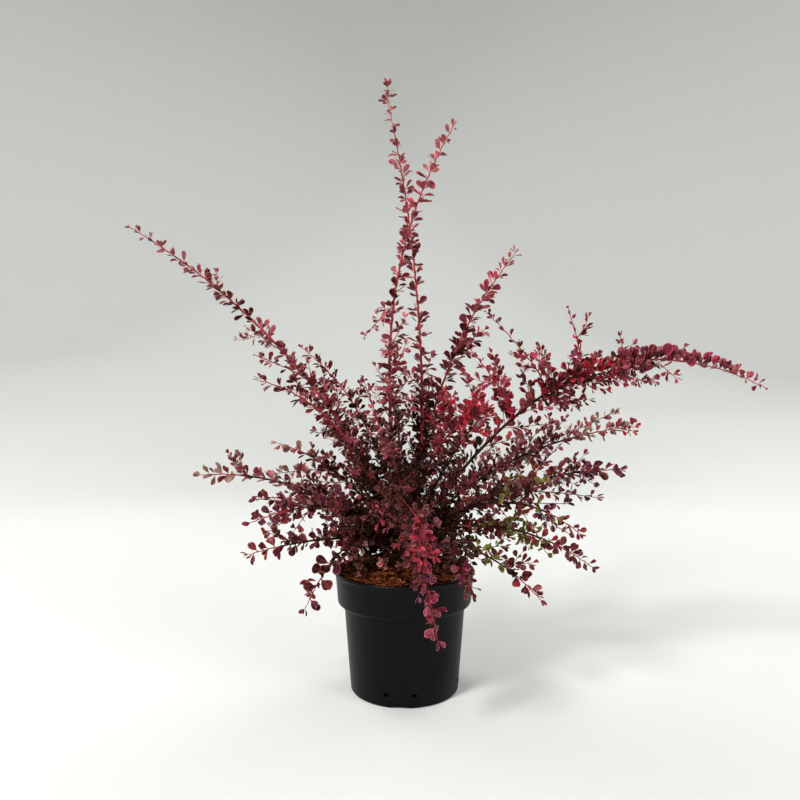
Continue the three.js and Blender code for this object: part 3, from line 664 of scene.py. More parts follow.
def basal_shoots():
    """Short leafy shoots all round the stem's head, low over the potting mix."""
    draw = random.Random("basal shoots")
    shoots = []
    for i in range(BASAL_SHOOTS):
        azimuth = math.degrees(i * GOLDEN) + draw.uniform(-12, 12)
        slope = draw.uniform(-16, 30)
        length = draw.uniform(36, 78)
        start = HEAD_CENTRE + direction(azimuth, slope) * (0.9 * HEAD_RADIUS)
        turn = start + direction(azimuth, slope + 16) * (0.55 * length)
        tip = turn + direction(azimuth + draw.uniform(-30, 30), slope - 24) * (0.5 * length)
        for point in (start, turn, tip):
            point[2] = max(point[2], MIX_TOP + 7)
        shoots.append(Stem(start, turn, tip, 0.9, draw.random()))
    return shoots


def grow_twigs(space, owner, plant):
    """The part's own rule, with the part's own seeds."""
    cane, stem = plant.cane, plant.stem
    draw = seeded_numbers(TWIG_SEED + owner)
    for i in range(cane.twigs):
        t = between(cane.bare + 0.06, 0.86, (i + between(0.15, 0.75, draw())) / cane.twigs)
        turn = i * GOLDEN + between(-0.5, 0.5, draw())
        lean = radians(between(38, 62, draw()))
        length = cane.twig_length * between(0.7, 1.1, draw()) * between(1.15, 0.55, t)
        phase = draw()
        for share in (1, 0.72, 0.5):
            twig = twig_at(stem, t, turn, lean, length * share, phase)
            if all(space.free(owner, twig.point(at), TWIG_ROOM) for at in (0.4, 0.7, 1)):
                cut = SHORTENED.get((cane.name, len(plant.twigs)), 1)
                shown = twig_at(stem, t, turn, lean, length * share * cut, phase)
                plant.twigs.append((shown, t))
                break


def grow_fine(space, owner, plant):
    """The same rule carried on to finer twigs, on the cane, its branches and its side twigs."""
    cane = plant.cane
    draw = random.Random(f"fine {cane.name}")
    spans = [(FINE_FROM, INNER_SHARE, INNER_SPACING), (INNER_SHARE, cane.fine, FINE_SPACING)]
    if cane.name in DENSE:
        spans.append((*DENSE[cane.name], DENSE_SPACING))
    apart = FINE_SPACING * (1.2 if cane.name == "right_arch" else 2.0)
    carriers = [(plant.stem, 0.0, *span) for span in spans]
    carriers += [(stem, base, 0.15, 0.8, apart) for stem, base in plant.branches]
    carriers += [(stem, base, 0.25, 0.75, 1.3 * FINE_SPACING) for stem, base in plant.twigs]
    for at, azimuth, slope, length in PLACED_TWIGS.get(cane.name, ()):
        plant.fine.append((twig_towards(plant.stem, at, direction(azimuth, slope), length), at))
    bare = SPARSE.get(cane.name, (1, 0))
    for stem, base, low, high, spacing in carriers:
        count = round(stem.length * (high - low) / spacing)
        longest = min(FINE_LENGTH, 0.5 * stem.length)
        for i in range(count):
            t = between(low, high, (i + draw.random()) / count)
            if stem is plant.stem and bare[0] < t < bare[1]:
                continue
            turn = i * GOLDEN + draw.uniform(-0.6, 0.6)
            lean = radians(draw.uniform(34, 64))
            length = longest * draw.uniform(0.6, 1.25) * between(1.1, 0.6, t)
            for share in (1, 0.7, 0.45):
                phase = draw.random()
                twig = twig_at(stem, t, turn, lean, length * share, phase, FINE_THICKNESS)
                if all(space.free(owner, twig.point(at), FINE_ROOM) for at in (0.5, 1)):
                    plant.fine.append((twig, base + (1 - base) * t))
                    break


# Meshes from arrays


def put(name, data):
    """A new object in the scene."""
    made = bpy.data.objects.new(name, data)
    bpy.context.scene.collection.objects.link(made)
    return made


def put_piece(name, mesh, nodes):
    """A piece of the part, with its material, on the one body."""
    mesh.materials.clear()
    mesh.materials.append(surface(name))
    piece = put(name, mesh)
    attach(piece, "root")
    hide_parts(*nodes)


class Pile:
    """Many small shapes gathered into one mesh."""

    def __init__(self):
        self.verts = []
        self.quads = []
        self.tris = []
        self.quad_uvs = []
        self.count = 0

    def add(self, verts, quads, tris=(), quad_uvs=None):
        self.verts.append(np.asarray(verts, float))
        self.quads.append(np.asarray(quads, int) + self.count)
        self.tris.append(np.asarray(tris, int).reshape(-1, 3) + self.count)
        self.quad_uvs.append(np.zeros((len(quads), 4, 2)) if quad_uvs is None else quad_uvs)
        self.count += len(verts)

    def build(self, name, slot, nodes, smooth=True):
        mesh = bpy.data.meshes.new(name)
        faces = np.concatenate(self.quads).tolist() + np.concatenate(self.tris).tolist()
        mesh.from_pydata((np.concatenate(self.verts) * MM).tolist(), [], faces)
        uvs = np.zeros((len(mesh.loops), 2), np.float32)
        flat = np.concatenate(self.quad_uvs).reshape(-1, 2)
        uvs[: len(flat)] = flat
        mesh.uv_layers.new(name="along").data.foreach_set("uv", uvs.ravel())
        mesh.polygons.foreach_set("use_smooth", [smooth] * len(mesh.polygons))
        mesh.update()
        put_piece(name, mesh, nodes)


def ring_mesh(rings, sides):
    """A tube's quads with their corners' (round, ring) indices, and the triangles of its ends.

    The two end points come after the rings' points.
    """
    i, j = np.meshgrid(np.arange(rings - 1), np.arange(sides), indexing="ij")
    i, j = i.ravel(), j.ravel()
    low, high, after = i * sides, (i + 1) * sides, (j + 1) % sides
    quads = np.stack([low + j, low + after, high + after, high + j], axis=1)
    round_ = np.stack([j, j + 1, j + 1, j], axis=1) / sides
    ahead = np.stack([i, i, i + 1, i + 1], axis=1)
    first, last = rings * sides, (rings - 1) * sides
    tris = [(first, (k + 1) % sides, k) for k in range(sides)]
    tris += [(first + 1, last + k, last + (k + 1) % sides) for k in range(sides)]
    return quads, round_, ahead, tris


def tube(pile, points, radii, side, sides, relief=None):
    """A closed tube along points. A relief, by run and angle, scales its radius."""
    gradient = np.gradient(points, axis=0)
    along = gradient / norm(gradient, axis=1)[:, None]
    over = np.cross(along, side)
    over /= np.maximum(1e-9, norm(over, axis=1))[:, None]
    across = np.cross(over, along)
    run = run_of(points)
    angle = np.linspace(0, 2 * np.pi, sides, endpoint=False)
    radius = np.repeat(radii[:, None], sides, axis=1)
    if relief is not None:
        radius = radius * relief(run[:, None], angle[None, :])
    verts = (
        points[:, None]
        + across[:, None] * (np.cos(angle)[None, :, None] * radius[..., None])
        + over[:, None] * (np.sin(angle)[None, :, None] * radius[..., None])
    ).reshape(-1, 3)
    quads, round_, ahead, tris = ring_mesh(len(points), sides)
    uvs = np.stack([round_, run[ahead] / 10], axis=-1)
    ends = np.stack([points[0], points[-1] + along[-1] * radii[-1]])
    pile.add(np.concatenate([verts, ends]), quads, tris, uvs)


# Leaves


def leaf_shape(fold, curl, twist):
    """A spoon-shaped leaf, 1 long and 1 wide: rows of left, middle and right, from its stalk."""
    rows = [(0, 0.08), (0.2, 0.12), (0.4, 0.62), (0.58, 0.93), (0.74, 1), (0.9, 0.74), (1, 0.2)]
    verts = []
    uvs = []
    for t, width in rows:
        half = 0.5 * width
        bend = curl * (t - 0.15) ** 2 if t > 0.15 else 0.0
        turn = twist * t
        for column, x in enumerate((-half, 0.0, half)):
            height = fold * abs(x) + bend
            verts.append((t - 0.15 * abs(bend), x * cos(turn), height + x * sin(turn)))
            uvs.append((0.5 * column, t))
    starts = [3 * row + column for row in range(len(rows) - 1) for column in range(2)]
    quads = [(a, a + 1, a + 4, a + 3) for a in starts]
    return np.array(verts), np.array(quads), np.array(uvs)


LEAF_SHAPES = [
    leaf_shape(0.42, -0.18, 0.25),
    leaf_shape(0.28, 0.3, -0.2),
    leaf_shape(0.6, 0.12, 0.1),
    leaf_shape(0.2, -0.38, -0.35),
]


class Leaves:
    """All the leaves of one tint, by shape: root, reach, face, length and width."""

    def __init__(self):
        self.rows = [[] for _ in LEAF_SHAPES]

    def add(self, draw, *row):
        self.rows[draw.randrange(len(LEAF_SHAPES))].append(row)

    def pile(self):
        pile = Pile()
        for (verts, quads, uvs), rows in zip(LEAF_SHAPES, self.rows):
            if not rows:
                continue
            root, reach, face, length, width = (np.array(column) for column in zip(*rows))
            across = np.cross(face, reach)
            length, width = length[:, None, None], width[:, None, None]
            made = (
                root[:, None]
                + reach[:, None] * (verts[None, :, :1] * length)
                + across[:, None] * (verts[None, :, 1:2] * width)
                + face[:, None] * (verts[None, :, 2:] * width)
            )
            shift = np.arange(len(rows))[:, None, None] * len(verts)
            corners = np.broadcast_to(uvs[quads], (len(rows), *quads.shape, 2))
            faces = (quads[None] + shift).reshape(-1, 4)
            pile.add(made.reshape(-1, 3), faces, (), corners.reshape(-1, 4, 2))
        return pile


def deepness(at):
    """Under one in the plant's shaded middle, where darker tints and bark are painted as shade, and
    more outside it.
    """
    return float((((at - SHADE_CENTRE) / SHADE_SIZE) ** 2).sum())


def tint_for(draw, cane, share, place, at):
    for low, high, below, tints in PATCHES.get(cane.name, ()):
        if low <= place <= high and at[2] < below:
            return draw.choice(tints.split())
    # In the plant's middle or low on the cane the first zone's darker tints are dealt: partly the
    # older leaves' own colour, partly painted shade
    zone = 0 if deepness(at) < draw.uniform(0.7, 1.3) or share < 0.2 else 1 if share < 0.72 else 2
    return draw.choice(TONES[cane.tone][zone].split())


def put_leaf(leaves, draw, tint, root, reach, along, size, lift, habit, round_=1.0):
    reach = unit(reach + UP * lift)
    level, follow, loose = habit[2:]
    face = follow * along + level * UP + np.array([draw.gauss(0, loose) for _ in range(3)])
    face = unit(face - reach * float(face @ reach))
    length = LEAF_LENGTH * size
    middle = root + reach * (0.6 * length)
    end = root + reach * length
    if in_pot(middle, 0.5) or in_pot(end, 0.5) or middle[2] < 6:
        return
    if np.any(end < BOX_LOW) or np.any(end > BOX_HIGH):
        return
    leaves[tint].add(draw, root, reach, face, length, length * draw.uniform(*LEAF_WIDTH) * round_)


def put_spine(pile, at, reach, length):
    side = unit(np.cross(reach, UP + 0.01))
    other = np.cross(side, reach)
    ring = [side * cos(a) + other * sin(a) for a in (0.0, 2.1, 4.2)]
    verts = [at + v * 0.3 for v in ring]
    verts += [at + reach * (0.5 * length) + v * 0.17 for v in ring]
    verts.append(at + reach * length)
    quads = [(0, 1, 4, 3), (1, 2, 5, 4), (2, 0, 3, 5)]
    pile.add(verts, quads, [(3, 4, 6), (4, 5, 6), (5, 3, 6), (2, 1, 0)])


def dress(leaves, spines, draw, cane, stem, low, base, count, order):
    """Leaf clusters and spines at the nodes of one stem, from the share low to its tip.

    The order is 0 for a cane, 1 for a branch, 2 for a twig and 3 for a fine twig. The base is the
    share of the cane where the stem starts.
    """
    if order > 0 and cane.name in SIDE_LOOK:
        tone, leaf, lift = SIDE_LOOK[cane.name]
        cane = cane._replace(tone=tone, leaf=leaf, lift=lift)
    run = float(np.interp(low, stem.shares, stem.run))
    node = 0
    spray = tint = None
    slender = order < 2 and cane.name in SLENDER
    fade, small = SLENDER[cane.name] if slender else OTHER_TIPS if order < 2 else TWIG_TIPS
    round_ = ROUND.get(cane.tone, 1.0)
    habit = HABIT.get(cane.tone, OTHER_HABIT)
    big_from, *big = BIG_LEAVES.get(cane.name, (1, 1, 1))
    sparse = SPARSE.get(cane.name, (1, 0))
    close_from, close = CLOSE.get(cane.name, (0, 1))
    odd_from, odd_to, chance = ODD_LEAVES.get(cane.name, (1, 0, 0))
    while run < stem.length - 1.5:
        t = float(stem.share_at(run))
        overall = base + (1 - base) * t
        place = overall if order == 0 else between(base, overall, 0.3)
        grown, rounder = big if order == 0 and overall > big_from else (1.0, 1.0)
        if order == 1 and cane.name in BRANCH_LOOK:
            grown = BRANCH_LOOK[cane.name][1]
        left = stem.length - run
        young = between(small, 1.0, min(1.0, left / fade))
        axes = stem.frame(t)
        at = stem.point(t)
        inner = between(0.76, 1.0, min(1.0, deepness(at) / 2.2)) * (1.0 if order < 2 else 0.84)
        usual = cane.leaf * young * inner * grown
        turn = node * 2.4 + draw.uniform(-0.4, 0.4)
        if spray != int(run / SPRAY_RUN):
            spray = int(run / SPRAY_RUN)
            tint = tint_for(draw, cane, overall, place, at)
        here = tint if draw.random() < SPRAY_TINT else tint_for(draw, cane, overall, place, at)
        number = count - (1 if order == 0 and overall > 0.5 and not slender else 0)
        if order == 0 and sparse[0] < overall < sparse[1]:
            number = 2
        if slender:
            number = round(number * between(0.5, 1.0, min(1.0, left / fade)))
        elif left < 25 and order < 2:
            number = max(2, round(number * left / 25))
        number += draw.choice((-1, 0, 0, 1))
        for k in range(max(2, number)):
            lean = radians(draw.uniform(*habit[:2]))
            reach = leaning(axes, turn + draw.gauss(0, 0.85), lean)
            size = usual * (draw.uniform(0.86, 1.16) if k < 2 else draw.uniform(0.52, 0.94))
            root = at + reach * (0.5 * float(stem.thickness(t)))
            lift = cane.lift * draw.uniform(0.4, 1.3)
            odd = odd_from <= overall <= odd_to and draw.random() < chance
            shown, share = ("amber", ODD_SIZE) if odd else (here, 1.0)
            shape = (size * share, lift, habit, round_ * rounder)
            put_leaf(leaves, draw, shown, root, reach, axes[0], *shape)
        if draw.random() < 0.5:
            spike = leaning(axes, turn + pi + draw.uniform(-0.5, 0.5), radians(72))
            put_spine(spines, at, spike, SPINE_LENGTH * draw.uniform(0.6, 1.1) * young)
        apart = 1.0 if order > 0 or overall < close_from else close
        run += NODE_SPACING * draw.uniform(0.8, 1.2) * apart * (0.85 if overall < 0.35 else 1.0)
        node += 1
    axes = stem.frame(0.99)
    tip = stem.point(1.0)
    for k in range(3):
        reach = leaning(axes, k * GOLDEN, radians(draw.uniform(5, 35)))
        bud = draw.choice(("rose", "crimson", "mauve")) if slender else tint
        size = small * (0.55 if slender else 0.8) * draw.uniform(0.7, 1.1)
        put_leaf(leaves, draw, bud or "wine", tip, reach, axes[0], size, 0.1, habit)


# Materials


def add_node(tree, kind, values, **settings):
    """A shader node. Each value is a number or colour for an input, or a socket to link to it."""
    node = tree.nodes.new("ShaderNode" + kind)
    for key, value in settings.items():
        setattr(node, key, value)
    for key, value in values.items():
        if isinstance(value, bpy.types.NodeSocket):
            tree.links.new(value, node.inputs[key])
        else:
            node.inputs[key].default_value = value
    return node


def maths(tree, operation, *values):
    return add_node(tree, "Math", dict(enumerate(values)), operation=operation).outputs["Value"]


def map_range(tree, value, low, high, least=0.0, most=1.0, kind="LINEAR"):
    ends = {"From Min": low, "From Max": high, "To Min": least, "To Max": most}
    node = add_node(tree, "MapRange", {"Value": value, **ends}, interpolation_type=kind)
    return node.outputs["Result"]


def noise(tree, source, scale, detail=3.0):
    values = {"Vector": source, "Scale": scale, "Detail": detail, "Roughness": 0.55}
    return add_node(tree, "TexNoise", values).outputs["Fac"]


def shader_of(material):
    return next(n for n in material.node_tree.nodes if n.type == "BSDF_PRINCIPLED")


def grained(name, stops, scale, roughness, bump, fine_scale, specular, stretch=None):
    """A material whose colour runs through stops by one noise, with a finer one in its relief."""
    material = bpy.data.materials.new(name)
    material.use_nodes = True
    tree = material.node_tree
    if stretch is None:
        source = add_node(tree, "TexCoord", {}).outputs["Object"]
    else:
        along = add_node(tree, "UVMap", {}, uv_map="along").outputs["UV"]
        source = add_node(tree, "Mapping", {"Vector": along, "Scale": stretch}).outputs["Vector"]
    ramp = add_node(tree, "ValToRGB", {"Fac": noise(tree, source, scale)})
    ramp.color_ramp.elements.new(0.5)
    for element, (at, colour) in zip(ramp.color_ramp.elements, stops):
        element.position = at
        element.color = (*colour, 1)
    fine = noise(tree, source, fine_scale, 4.0)
    relief = add_node(tree, "Bump", {"Strength": bump[0], "Distance": bump[1], "Height": fine})
    shader = shader_of(material)
    shader.inputs["Specular IOR Level"].default_value = specular
    tree.links.new(ramp.outputs["Color"], shader.inputs["Base Color"])
    tree.links.new(map_range(tree, fine, 0.0, 1.0, *roughness), shader.inputs["Roughness"])
    tree.links.new(relief.outputs["Normal"], shader.inputs["Normal"])
    return material


def margin_and_sheen_share(tree):
    """One at a leaf's edge, less on its midrib, nought between, from the leaf's own layout. The
    pale edge is partly the leaf's margin and partly a painted highlight.
    """
    lookup = add_node(tree, "UVMap", {}, uv_map="along").outputs["UV"]
    split = add_node(tree, "SeparateXYZ", {"Vector": lookup}).outputs
    away = maths(tree, "ABSOLUTE", maths(tree, "SUBTRACT", split["X"], 0.5))
    sides = map_range(tree, away, 0.37, 0.49, kind="SMOOTHSTEP")
    end = map_range(tree, split["Y"], 0.9, 0.98, kind="SMOOTHSTEP")
    rib = map_range(tree, away, 0.05, 0.0, 0.0, 0.45, kind="SMOOTHSTEP")
    return maths(tree, "MAXIMUM", maths(tree, "MAXIMUM", sides, end), rib)


def mottle(tree):
    """Small pink blotches, as this plant's leaves have."""
    source = add_node(tree, "TexCoord", {}).outputs["Object"]
    blotches = noise(tree, source, MOTTLE_SCALE, 2.0)
    return map_range(tree, blotches, 0.54, 0.68, 0.0, MOTTLE_SHARE)


def leaf_material(name, colour, margin_and_sheen_part):
    """A leaf's tint, with a paler edge and midrib and blotches; the pale edge is partly the leaf's
    margin and partly a painted highlight. Dark leaves shine less.
    """
    factors = ((0.35, 0.5), (0.5, 0.95), (0.66, 1.75))
    stops = [(at, [min(1.0, c * factor) for c in screen(colour)]) for at, factor in factors]
    gloss = 0.3 if max(colour) > 70 else 0.14
    material = grained(f"leaf_{name}", stops, 150.0, (0.38, 0.54), (0.35, 0.0004), 1500.0, gloss)
    tree = material.node_tree
    base = shader_of(material).inputs["Base Color"]
    # The pale edge colour: partly the leaf's margin, partly a painted highlight
    margin_and_sheen_colour = [between(a, b, margin_and_sheen_part) for a, b in zip(screen(colour), screen(MARGIN_AND_SHEEN_TINT))]
    pale = maths(tree, "MAXIMUM", margin_and_sheen_share(tree), mottle(tree))
    values = {"Factor": pale, "A": base.links[0].from_socket, "B": (*margin_and_sheen_colour, 1)}
    mix = add_node(tree, "Mix", values, data_type="RGBA")
    tree.links.new(mix.outputs["Result"], base)
    return material


def surface(piece):
    """The material of a piece, by the piece's name."""
    tint = piece.removeprefix("leaves_")
    if tint in TINTS:
        return leaf_material(tint, *TINTS[tint])
    name, colours, places, *rest = SURFACES[piece]
    return grained(name, [(at, screen(c)) for at, c in zip(places, colours)], *rest)


# The pot, the potting mix and the short stem


def arc(centre, radius, low, high, count):
    turns = [radians(between(low, high, k / (count - 1))) for k in range(count)]
    return [(centre[0] + x, centre[1] + y) for x, y in (polar(radius, a) for a in turns)]


def turned(name, profile, segments):
    """A turned mesh from (radius, height) pairs, where a radius of nought is a single point."""
    made = bmesh.new()
    rings = []
    for radius, height in profile:
        turns = [2 * pi * k / segments for k in range(segments if radius else 1)]
        points = [(radius * cos(a) * MM, radius * sin(a) * MM, height * MM) for a in turns]
        rings.append([made.verts.new(point) for point in points])
    for low, high in zip(rings, rings[1:]):
        for k in range(segments):
            after = (k + 1) % segments
            below = (low[k % len(low)], low[after % len(low)])
            above = (high[after % len(high)], high[k % len(high)])
            made.faces.new(dict.fromkeys(below + above))
    bmesh.ops.recalc_face_normals(made, faces=made.faces)
    return finished(name, made)


def finished(name, made):
    mesh = bpy.data.meshes.new(name)
    made.to_mesh(mesh)
    made.free()
    return mesh


def body_radius(height):
    return between(BASE_RADIUS, BODY_TOP_RADIUS, height / COLLAR_FOOT)


def make_pot():
    outside = [(0, 0)]
    outside += arc((BASE_RADIUS - 2, 2.1), 2.1, -90, -3, 6)
    outside += [(body_radius(h), h) for h in (6, 12, 24, 40, 60, 78, 86, 88.6)]
    outside += [(BODY_TOP_RADIUS + 0.5, 89.5), (BODY_TOP_RADIUS + 1.6, 89.9), (66.6, 90.1)]
    outside += arc((67.2, 94.2), 3.9, -72, 2, 8)
    outside += [(71.6, 101), (72.4, 110), (73.2, 118), (73.5, 121)]
    outside += arc((73.3, 123.3), 1.7, -62, 90, 9)
    inside = [(72.6, 125.0), (72.1, 124.8), (71.9, 124.3), (72.0, 121.4), (69.8, 95.0)]
    inside += [(62.9, 91.4), (body_radius(FLOOR_THICKNESS) - WALL, FLOOR_THICKNESS)]
    inside.append((0, FLOOR_THICKNESS))
    solid = put("pot_solid", turned("pot_solid", outside + inside, 144))
    cutter = put("cutter", cutter_mesh())
    cut = solid.modifiers.new("cut", "BOOLEAN")
    cut.operation = "DIFFERENCE"
    cut.solver = "EXACT"
    cut.object = cutter
    bpy.context.view_layer.update()
    depsgraph = bpy.context.evaluated_depsgraph_get()
    mesh = bpy.data.meshes.new_from_object(solid.evaluated_get(depsgraph))
    for helper in (solid, cutter):
        bpy.data.objects.remove(helper)
    mesh.polygons.foreach_set("use_smooth", [True] * len(mesh.polygons))
    mesh.set_sharp_from_angle(angle=radians(38))
    put_piece("pot_shell", mesh, ["pot"])


def cutter_mesh():
    """The drainage channels under the pot and the slots above its foot, as one mesh."""
    made = bmesh.new()
    foot, top = CHANNEL_FOOT_WIDTH / 2 + 1, CHANNEL_TOP_WIDTH / 2
    channel = ((-foot, -2), (foot, -2), (top, CHANNEL_DEPTH), (-top, CHANNEL_DEPTH))
    half, tall = SLOT_SIZE[0] / 2, SLOT_SIZE[1] / 2
    low, high = SLOT_LEVEL - tall, SLOT_LEVEL + tall
    slot = ((-half, low), (half, low), (half, high), (-half, high))
    reach = body_radius(SLOT_LEVEL)
    for i in range(CHANNEL_COUNT):
        turn = radians(CHANNEL_TURN + i * 360 / CHANNEL_COUNT)
        add_prism(made, channel, CHANNEL_INNER_RADIUS, BASE_RADIUS + 8, turn)
        for sign in (-1, 1):
            aside = turn + sign * radians(SLOT_TURN)
            add_prism(made, slot, reach - SLOT_CUT, reach + SLOT_CUT, aside)
    bmesh.ops.recalc_face_normals(made, faces=made.faces)
    return finished("cutter", made)


def add_prism(made, outline, near, far, turn):
    """A prism that runs outward from near to far. Its outline is four (y, z) pairs."""
    verts = []
    for x, y, z in [(x, *corner) for x in (near, far) for corner in outline]:
        across = x * cos(turn) - y * sin(turn)
        ahead = x * sin(turn) + y * cos(turn)
        verts.append(made.verts.new((across * MM, ahead * MM, z * MM)))
    made.faces.new(verts[:4])
    made.faces.new(verts[4:])
    for k in range(4):
        after = (k + 1) % 4
        made.faces.new((verts[k], verts[after], verts[4 + after], verts[4 + k]))


def mix_height(x, y):
    """The height of the potting mix's rough surface."""
    reach = hypot(x, y)
    share = min(1.0, reach / MIX_EDGE_RADIUS)
    level = between(MIX_TOP + 1.0, MIX_EDGE + 2.2, share**3)
    lump = sin(0.31 * x + 1.3) * cos(0.27 * y) + sin(0.17 * (x - y))
    heap = math.exp(-(((x + 60) / 16) ** 2) - ((y + 12) / 34) ** 2)
    return level + 0.6 * lump + 4.2 * heap * share


def on_mix(draw, widest):
    """A place on the potting mix, evenly drawn."""
    return polar(widest * math.sqrt(draw.random()), draw.uniform(0, 2 * pi))


def make_mix():
    draw = random.Random("mix bed")
    verts = []
    for i in range(MIX_RINGS):
        reach = MIX_EDGE_RADIUS * (i + 0.3) / (MIX_RINGS - 0.7)
        for j in range(MIX_SIDES):
            x, y = polar(reach, 2 * pi * (j + 0.5 * (i % 2)) / MIX_SIDES)
            verts.append((x, y, mix_height(x, y) - 0.8 + draw.uniform(-0.7, 0.7)))
    for reach, height in ((MIX_EDGE_RADIUS, 116.0), (60.0, MIX_UNDERSIDE)):
        verts += [(*polar(reach, 2 * pi * j / MIX_SIDES), height) for j in range(MIX_SIDES)]
    verts += [(0, 0, MIX_TOP), (0, 0, MIX_UNDERSIDE)]
    quads, _, _, tris = ring_mesh(MIX_RINGS + 2, MIX_SIDES)
    bed, light, dark, chips = Pile(), Pile(), Pile(), Pile()
    bed.add(verts, quads[:, ::-1], [t[::-1] for t in tris])
    draw = random.Random("coir")
    for _ in range(FIBRE_COUNT):
        x, y = on_mix(draw, 71.0)
        put_fibre(light if draw.random() < LIGHT_FIBRES else dark, draw, x, y)
    for _ in range(CHIP_COUNT):
        put_chip(chips, draw, *on_mix(draw, 70.0))
    bed.build("mix_bed", "coir_mix", ["potting_mix"], smooth=False)
    light.build("coir_fibres_light", "coir_mix", ["potting_mix"])
    dark.build("coir_fibres_dark", "coir_mix", ["potting_mix"])
    chips.build("bark_chips", "coir_mix", ["potting_mix"], smooth=False)


def put_fibre(pile, draw, x, y):
    """A loose fibre that follows the mix, and lies on the pot's lip where it reaches it."""
    heading = draw.uniform(0, 2 * pi)
    length = draw.uniform(5, 17)
    bend = draw.uniform(-1.2, 1.2)
    height = draw.uniform(-0.5, 1.9)
    rise = draw.uniform(-0.16, 0.22)
    points = []
    for k in range(5):
        share = k / 4 - 0.5
        ahead, across = polar(length * share, heading + bend * share)
        px, py = x + ahead, y + across
        reach = hypot(px, py)
        if reach > MOST_REACH:
            px, py = px * MOST_REACH / reach, py * MOST_REACH / reach
        level = max(LIP_TOP if reach > 71.0 else 0.0, mix_height(px, py))
        arch = 1.2 * (0.25 - share * share)
        points.append((px, py, level + height + rise * length * share + arch))
    radii = np.array([0.5, 1, 1, 0.9, 0.4]) * draw.uniform(0.22, 0.56)
    if steps_of(points).min() >= 0.2:
        tube(pile, np.array(points), radii, UP, 3)


def put_chip(pile, draw, x, y):
    long, wide, thick = draw.uniform(2.5, 6.5), draw.uniform(1.5, 4), draw.uniform(0.4, 1.2)
    axis = Vector((draw.gauss(0, 0.3), draw.gauss(0, 0.3), 1)).normalized()
    turn = Quaternion(axis, draw.uniform(0, 6.28))
    turn = turn @ Quaternion(Vector((1, 0, 0)), draw.uniform(-0.5, 0.5))
    centre = Vector((x, y, mix_height(x, y) + 0.5))
    verts = []
    for z in (-0.5, 0.5):
        for cx, cy in ((-0.5, -0.4), (0.45, -0.5), (0.5, 0.42), (-0.4, 0.5)):
            ahead = cx * long * draw.uniform(0.8, 1.1)
            across = cy * wide * draw.uniform(0.8, 1.1)
            verts.append(tuple(centre + turn @ Vector((ahead, across, z * thick))))
    sides = [(0, 1, 5, 4), (1, 2, 6, 5), (2, 3, 7, 6), (3, 0, 4, 7)]
    pile.add(verts, [(3, 2, 1, 0), (4, 5, 6, 7), *sides])


def make_short_stem():
    """The short stem with its root flare and knuckled head, furrowed along its length."""
    foot = MIX_TOP - 3.0
    centre = float(HEAD_CENTRE[2])
    radii, heights = zip(
        (FLARE_RADIUS, foot), (FLARE_RADIUS, foot + 3), (15.4, foot + 5.5), (14.0, foot + 9),
        (WAIST_RADIUS, foot + 12), (WAIST_RADIUS + 0.6, centre - 9), (14.8, centre - 5),
        (HEAD_RADIUS, centre), (14.9, centre + 4), (13.2, centre + 7.5), (10.4, centre + 10.5),
        (5.5, centre + 13),
    )
    rings, sides = 40, 72
    levels = np.linspace(heights[0], heights[-1], rings)
    angle = np.linspace(0, 2 * np.pi, sides, endpoint=False)[None, :]
    z = levels[:, None]
    radius = np.interp(levels, heights, radii)[:, None] * np.ones_like(angle)
    flare = np.clip(1 - (z - MIX_TOP) / FLARE_HEIGHT, 0, 1)
    roots = 0.07 * flare * np.cos(3 * angle + 0.6)
    radius = radius * (1 + 0.035 * np.cos(5 * angle + 0.4 * z) + roots)
    furrow = np.sin(17 * angle + 0.8 * np.sin(0.35 * z)) + 0.6 * np.sin(29 * angle - 0.5 * z)
    radius = radius + 0.38 * furrow + 0.3 * np.sin(1.9 * z + 3 * np.cos(4 * angle))
    x = radius * np.cos(angle) + STEM_LEAN * (z - MIX_TOP)
    y = radius * np.sin(angle)
    verts = np.stack([x, y, z * np.ones_like(angle)], axis=-1).reshape(-1, 3)
    ends = np.array([[0, 0, levels[0]], [STEM_LEAN * STEM_HEIGHT, 0, levels[-1] + 0.8]])
    quads, round_, ahead, tris = ring_mesh(rings, sides)
    pile = Pile()
    uvs = np.stack([round_, levels[ahead] / 10], axis=-1)
    pile.add(np.concatenate([verts, ends]), quads, tris, uvs)
    pile.build("stem_bark", "stem_bark", ["short_stem"])


# Bark and leaves on the stems


def bark_relief(phase, depth):
    """Five grooves that wind slowly, a knuckle at each node, and small unevenness."""

    def relief(run, angle):
        groove = depth * np.cos(5 * angle + 0.03 * run + phase)
        knuckle = 0.16 * np.maximum(0, np.cos(2 * np.pi * run / NODE_SPACING + phase)) ** 8
        uneven = 0.04 * np.sin(1.3 * run + 2 * angle + 5 * phase)
        return 1 + groove + knuckle + uneven

    return relief


def stretch_of(stem, low, high, step, zigzag=0.0):
    """Evenly spaced points of a stem and its thickness there, bent to and fro by a zigzag."""
    start, end = np.interp([low, high], stem.shares, stem.run)
    run = np.linspace(start, end, max(3, int(round((end - start) / step)) + 1))
    shares = stem.share_at(run)
    points = stem.point(shares)
    if zigzag:
        turn = np.sin(np.pi * run / NODE_SPACING)[:, None]
        fade = np.minimum(1, (run - start) / 12)[:, None]
        chord = unit(points[-1] - points[0])
        points = points + zigzag * fade * turn * unit(np.cross(chord, stem.side + 0.3 * UP))
    return points, stem.thickness(shares)


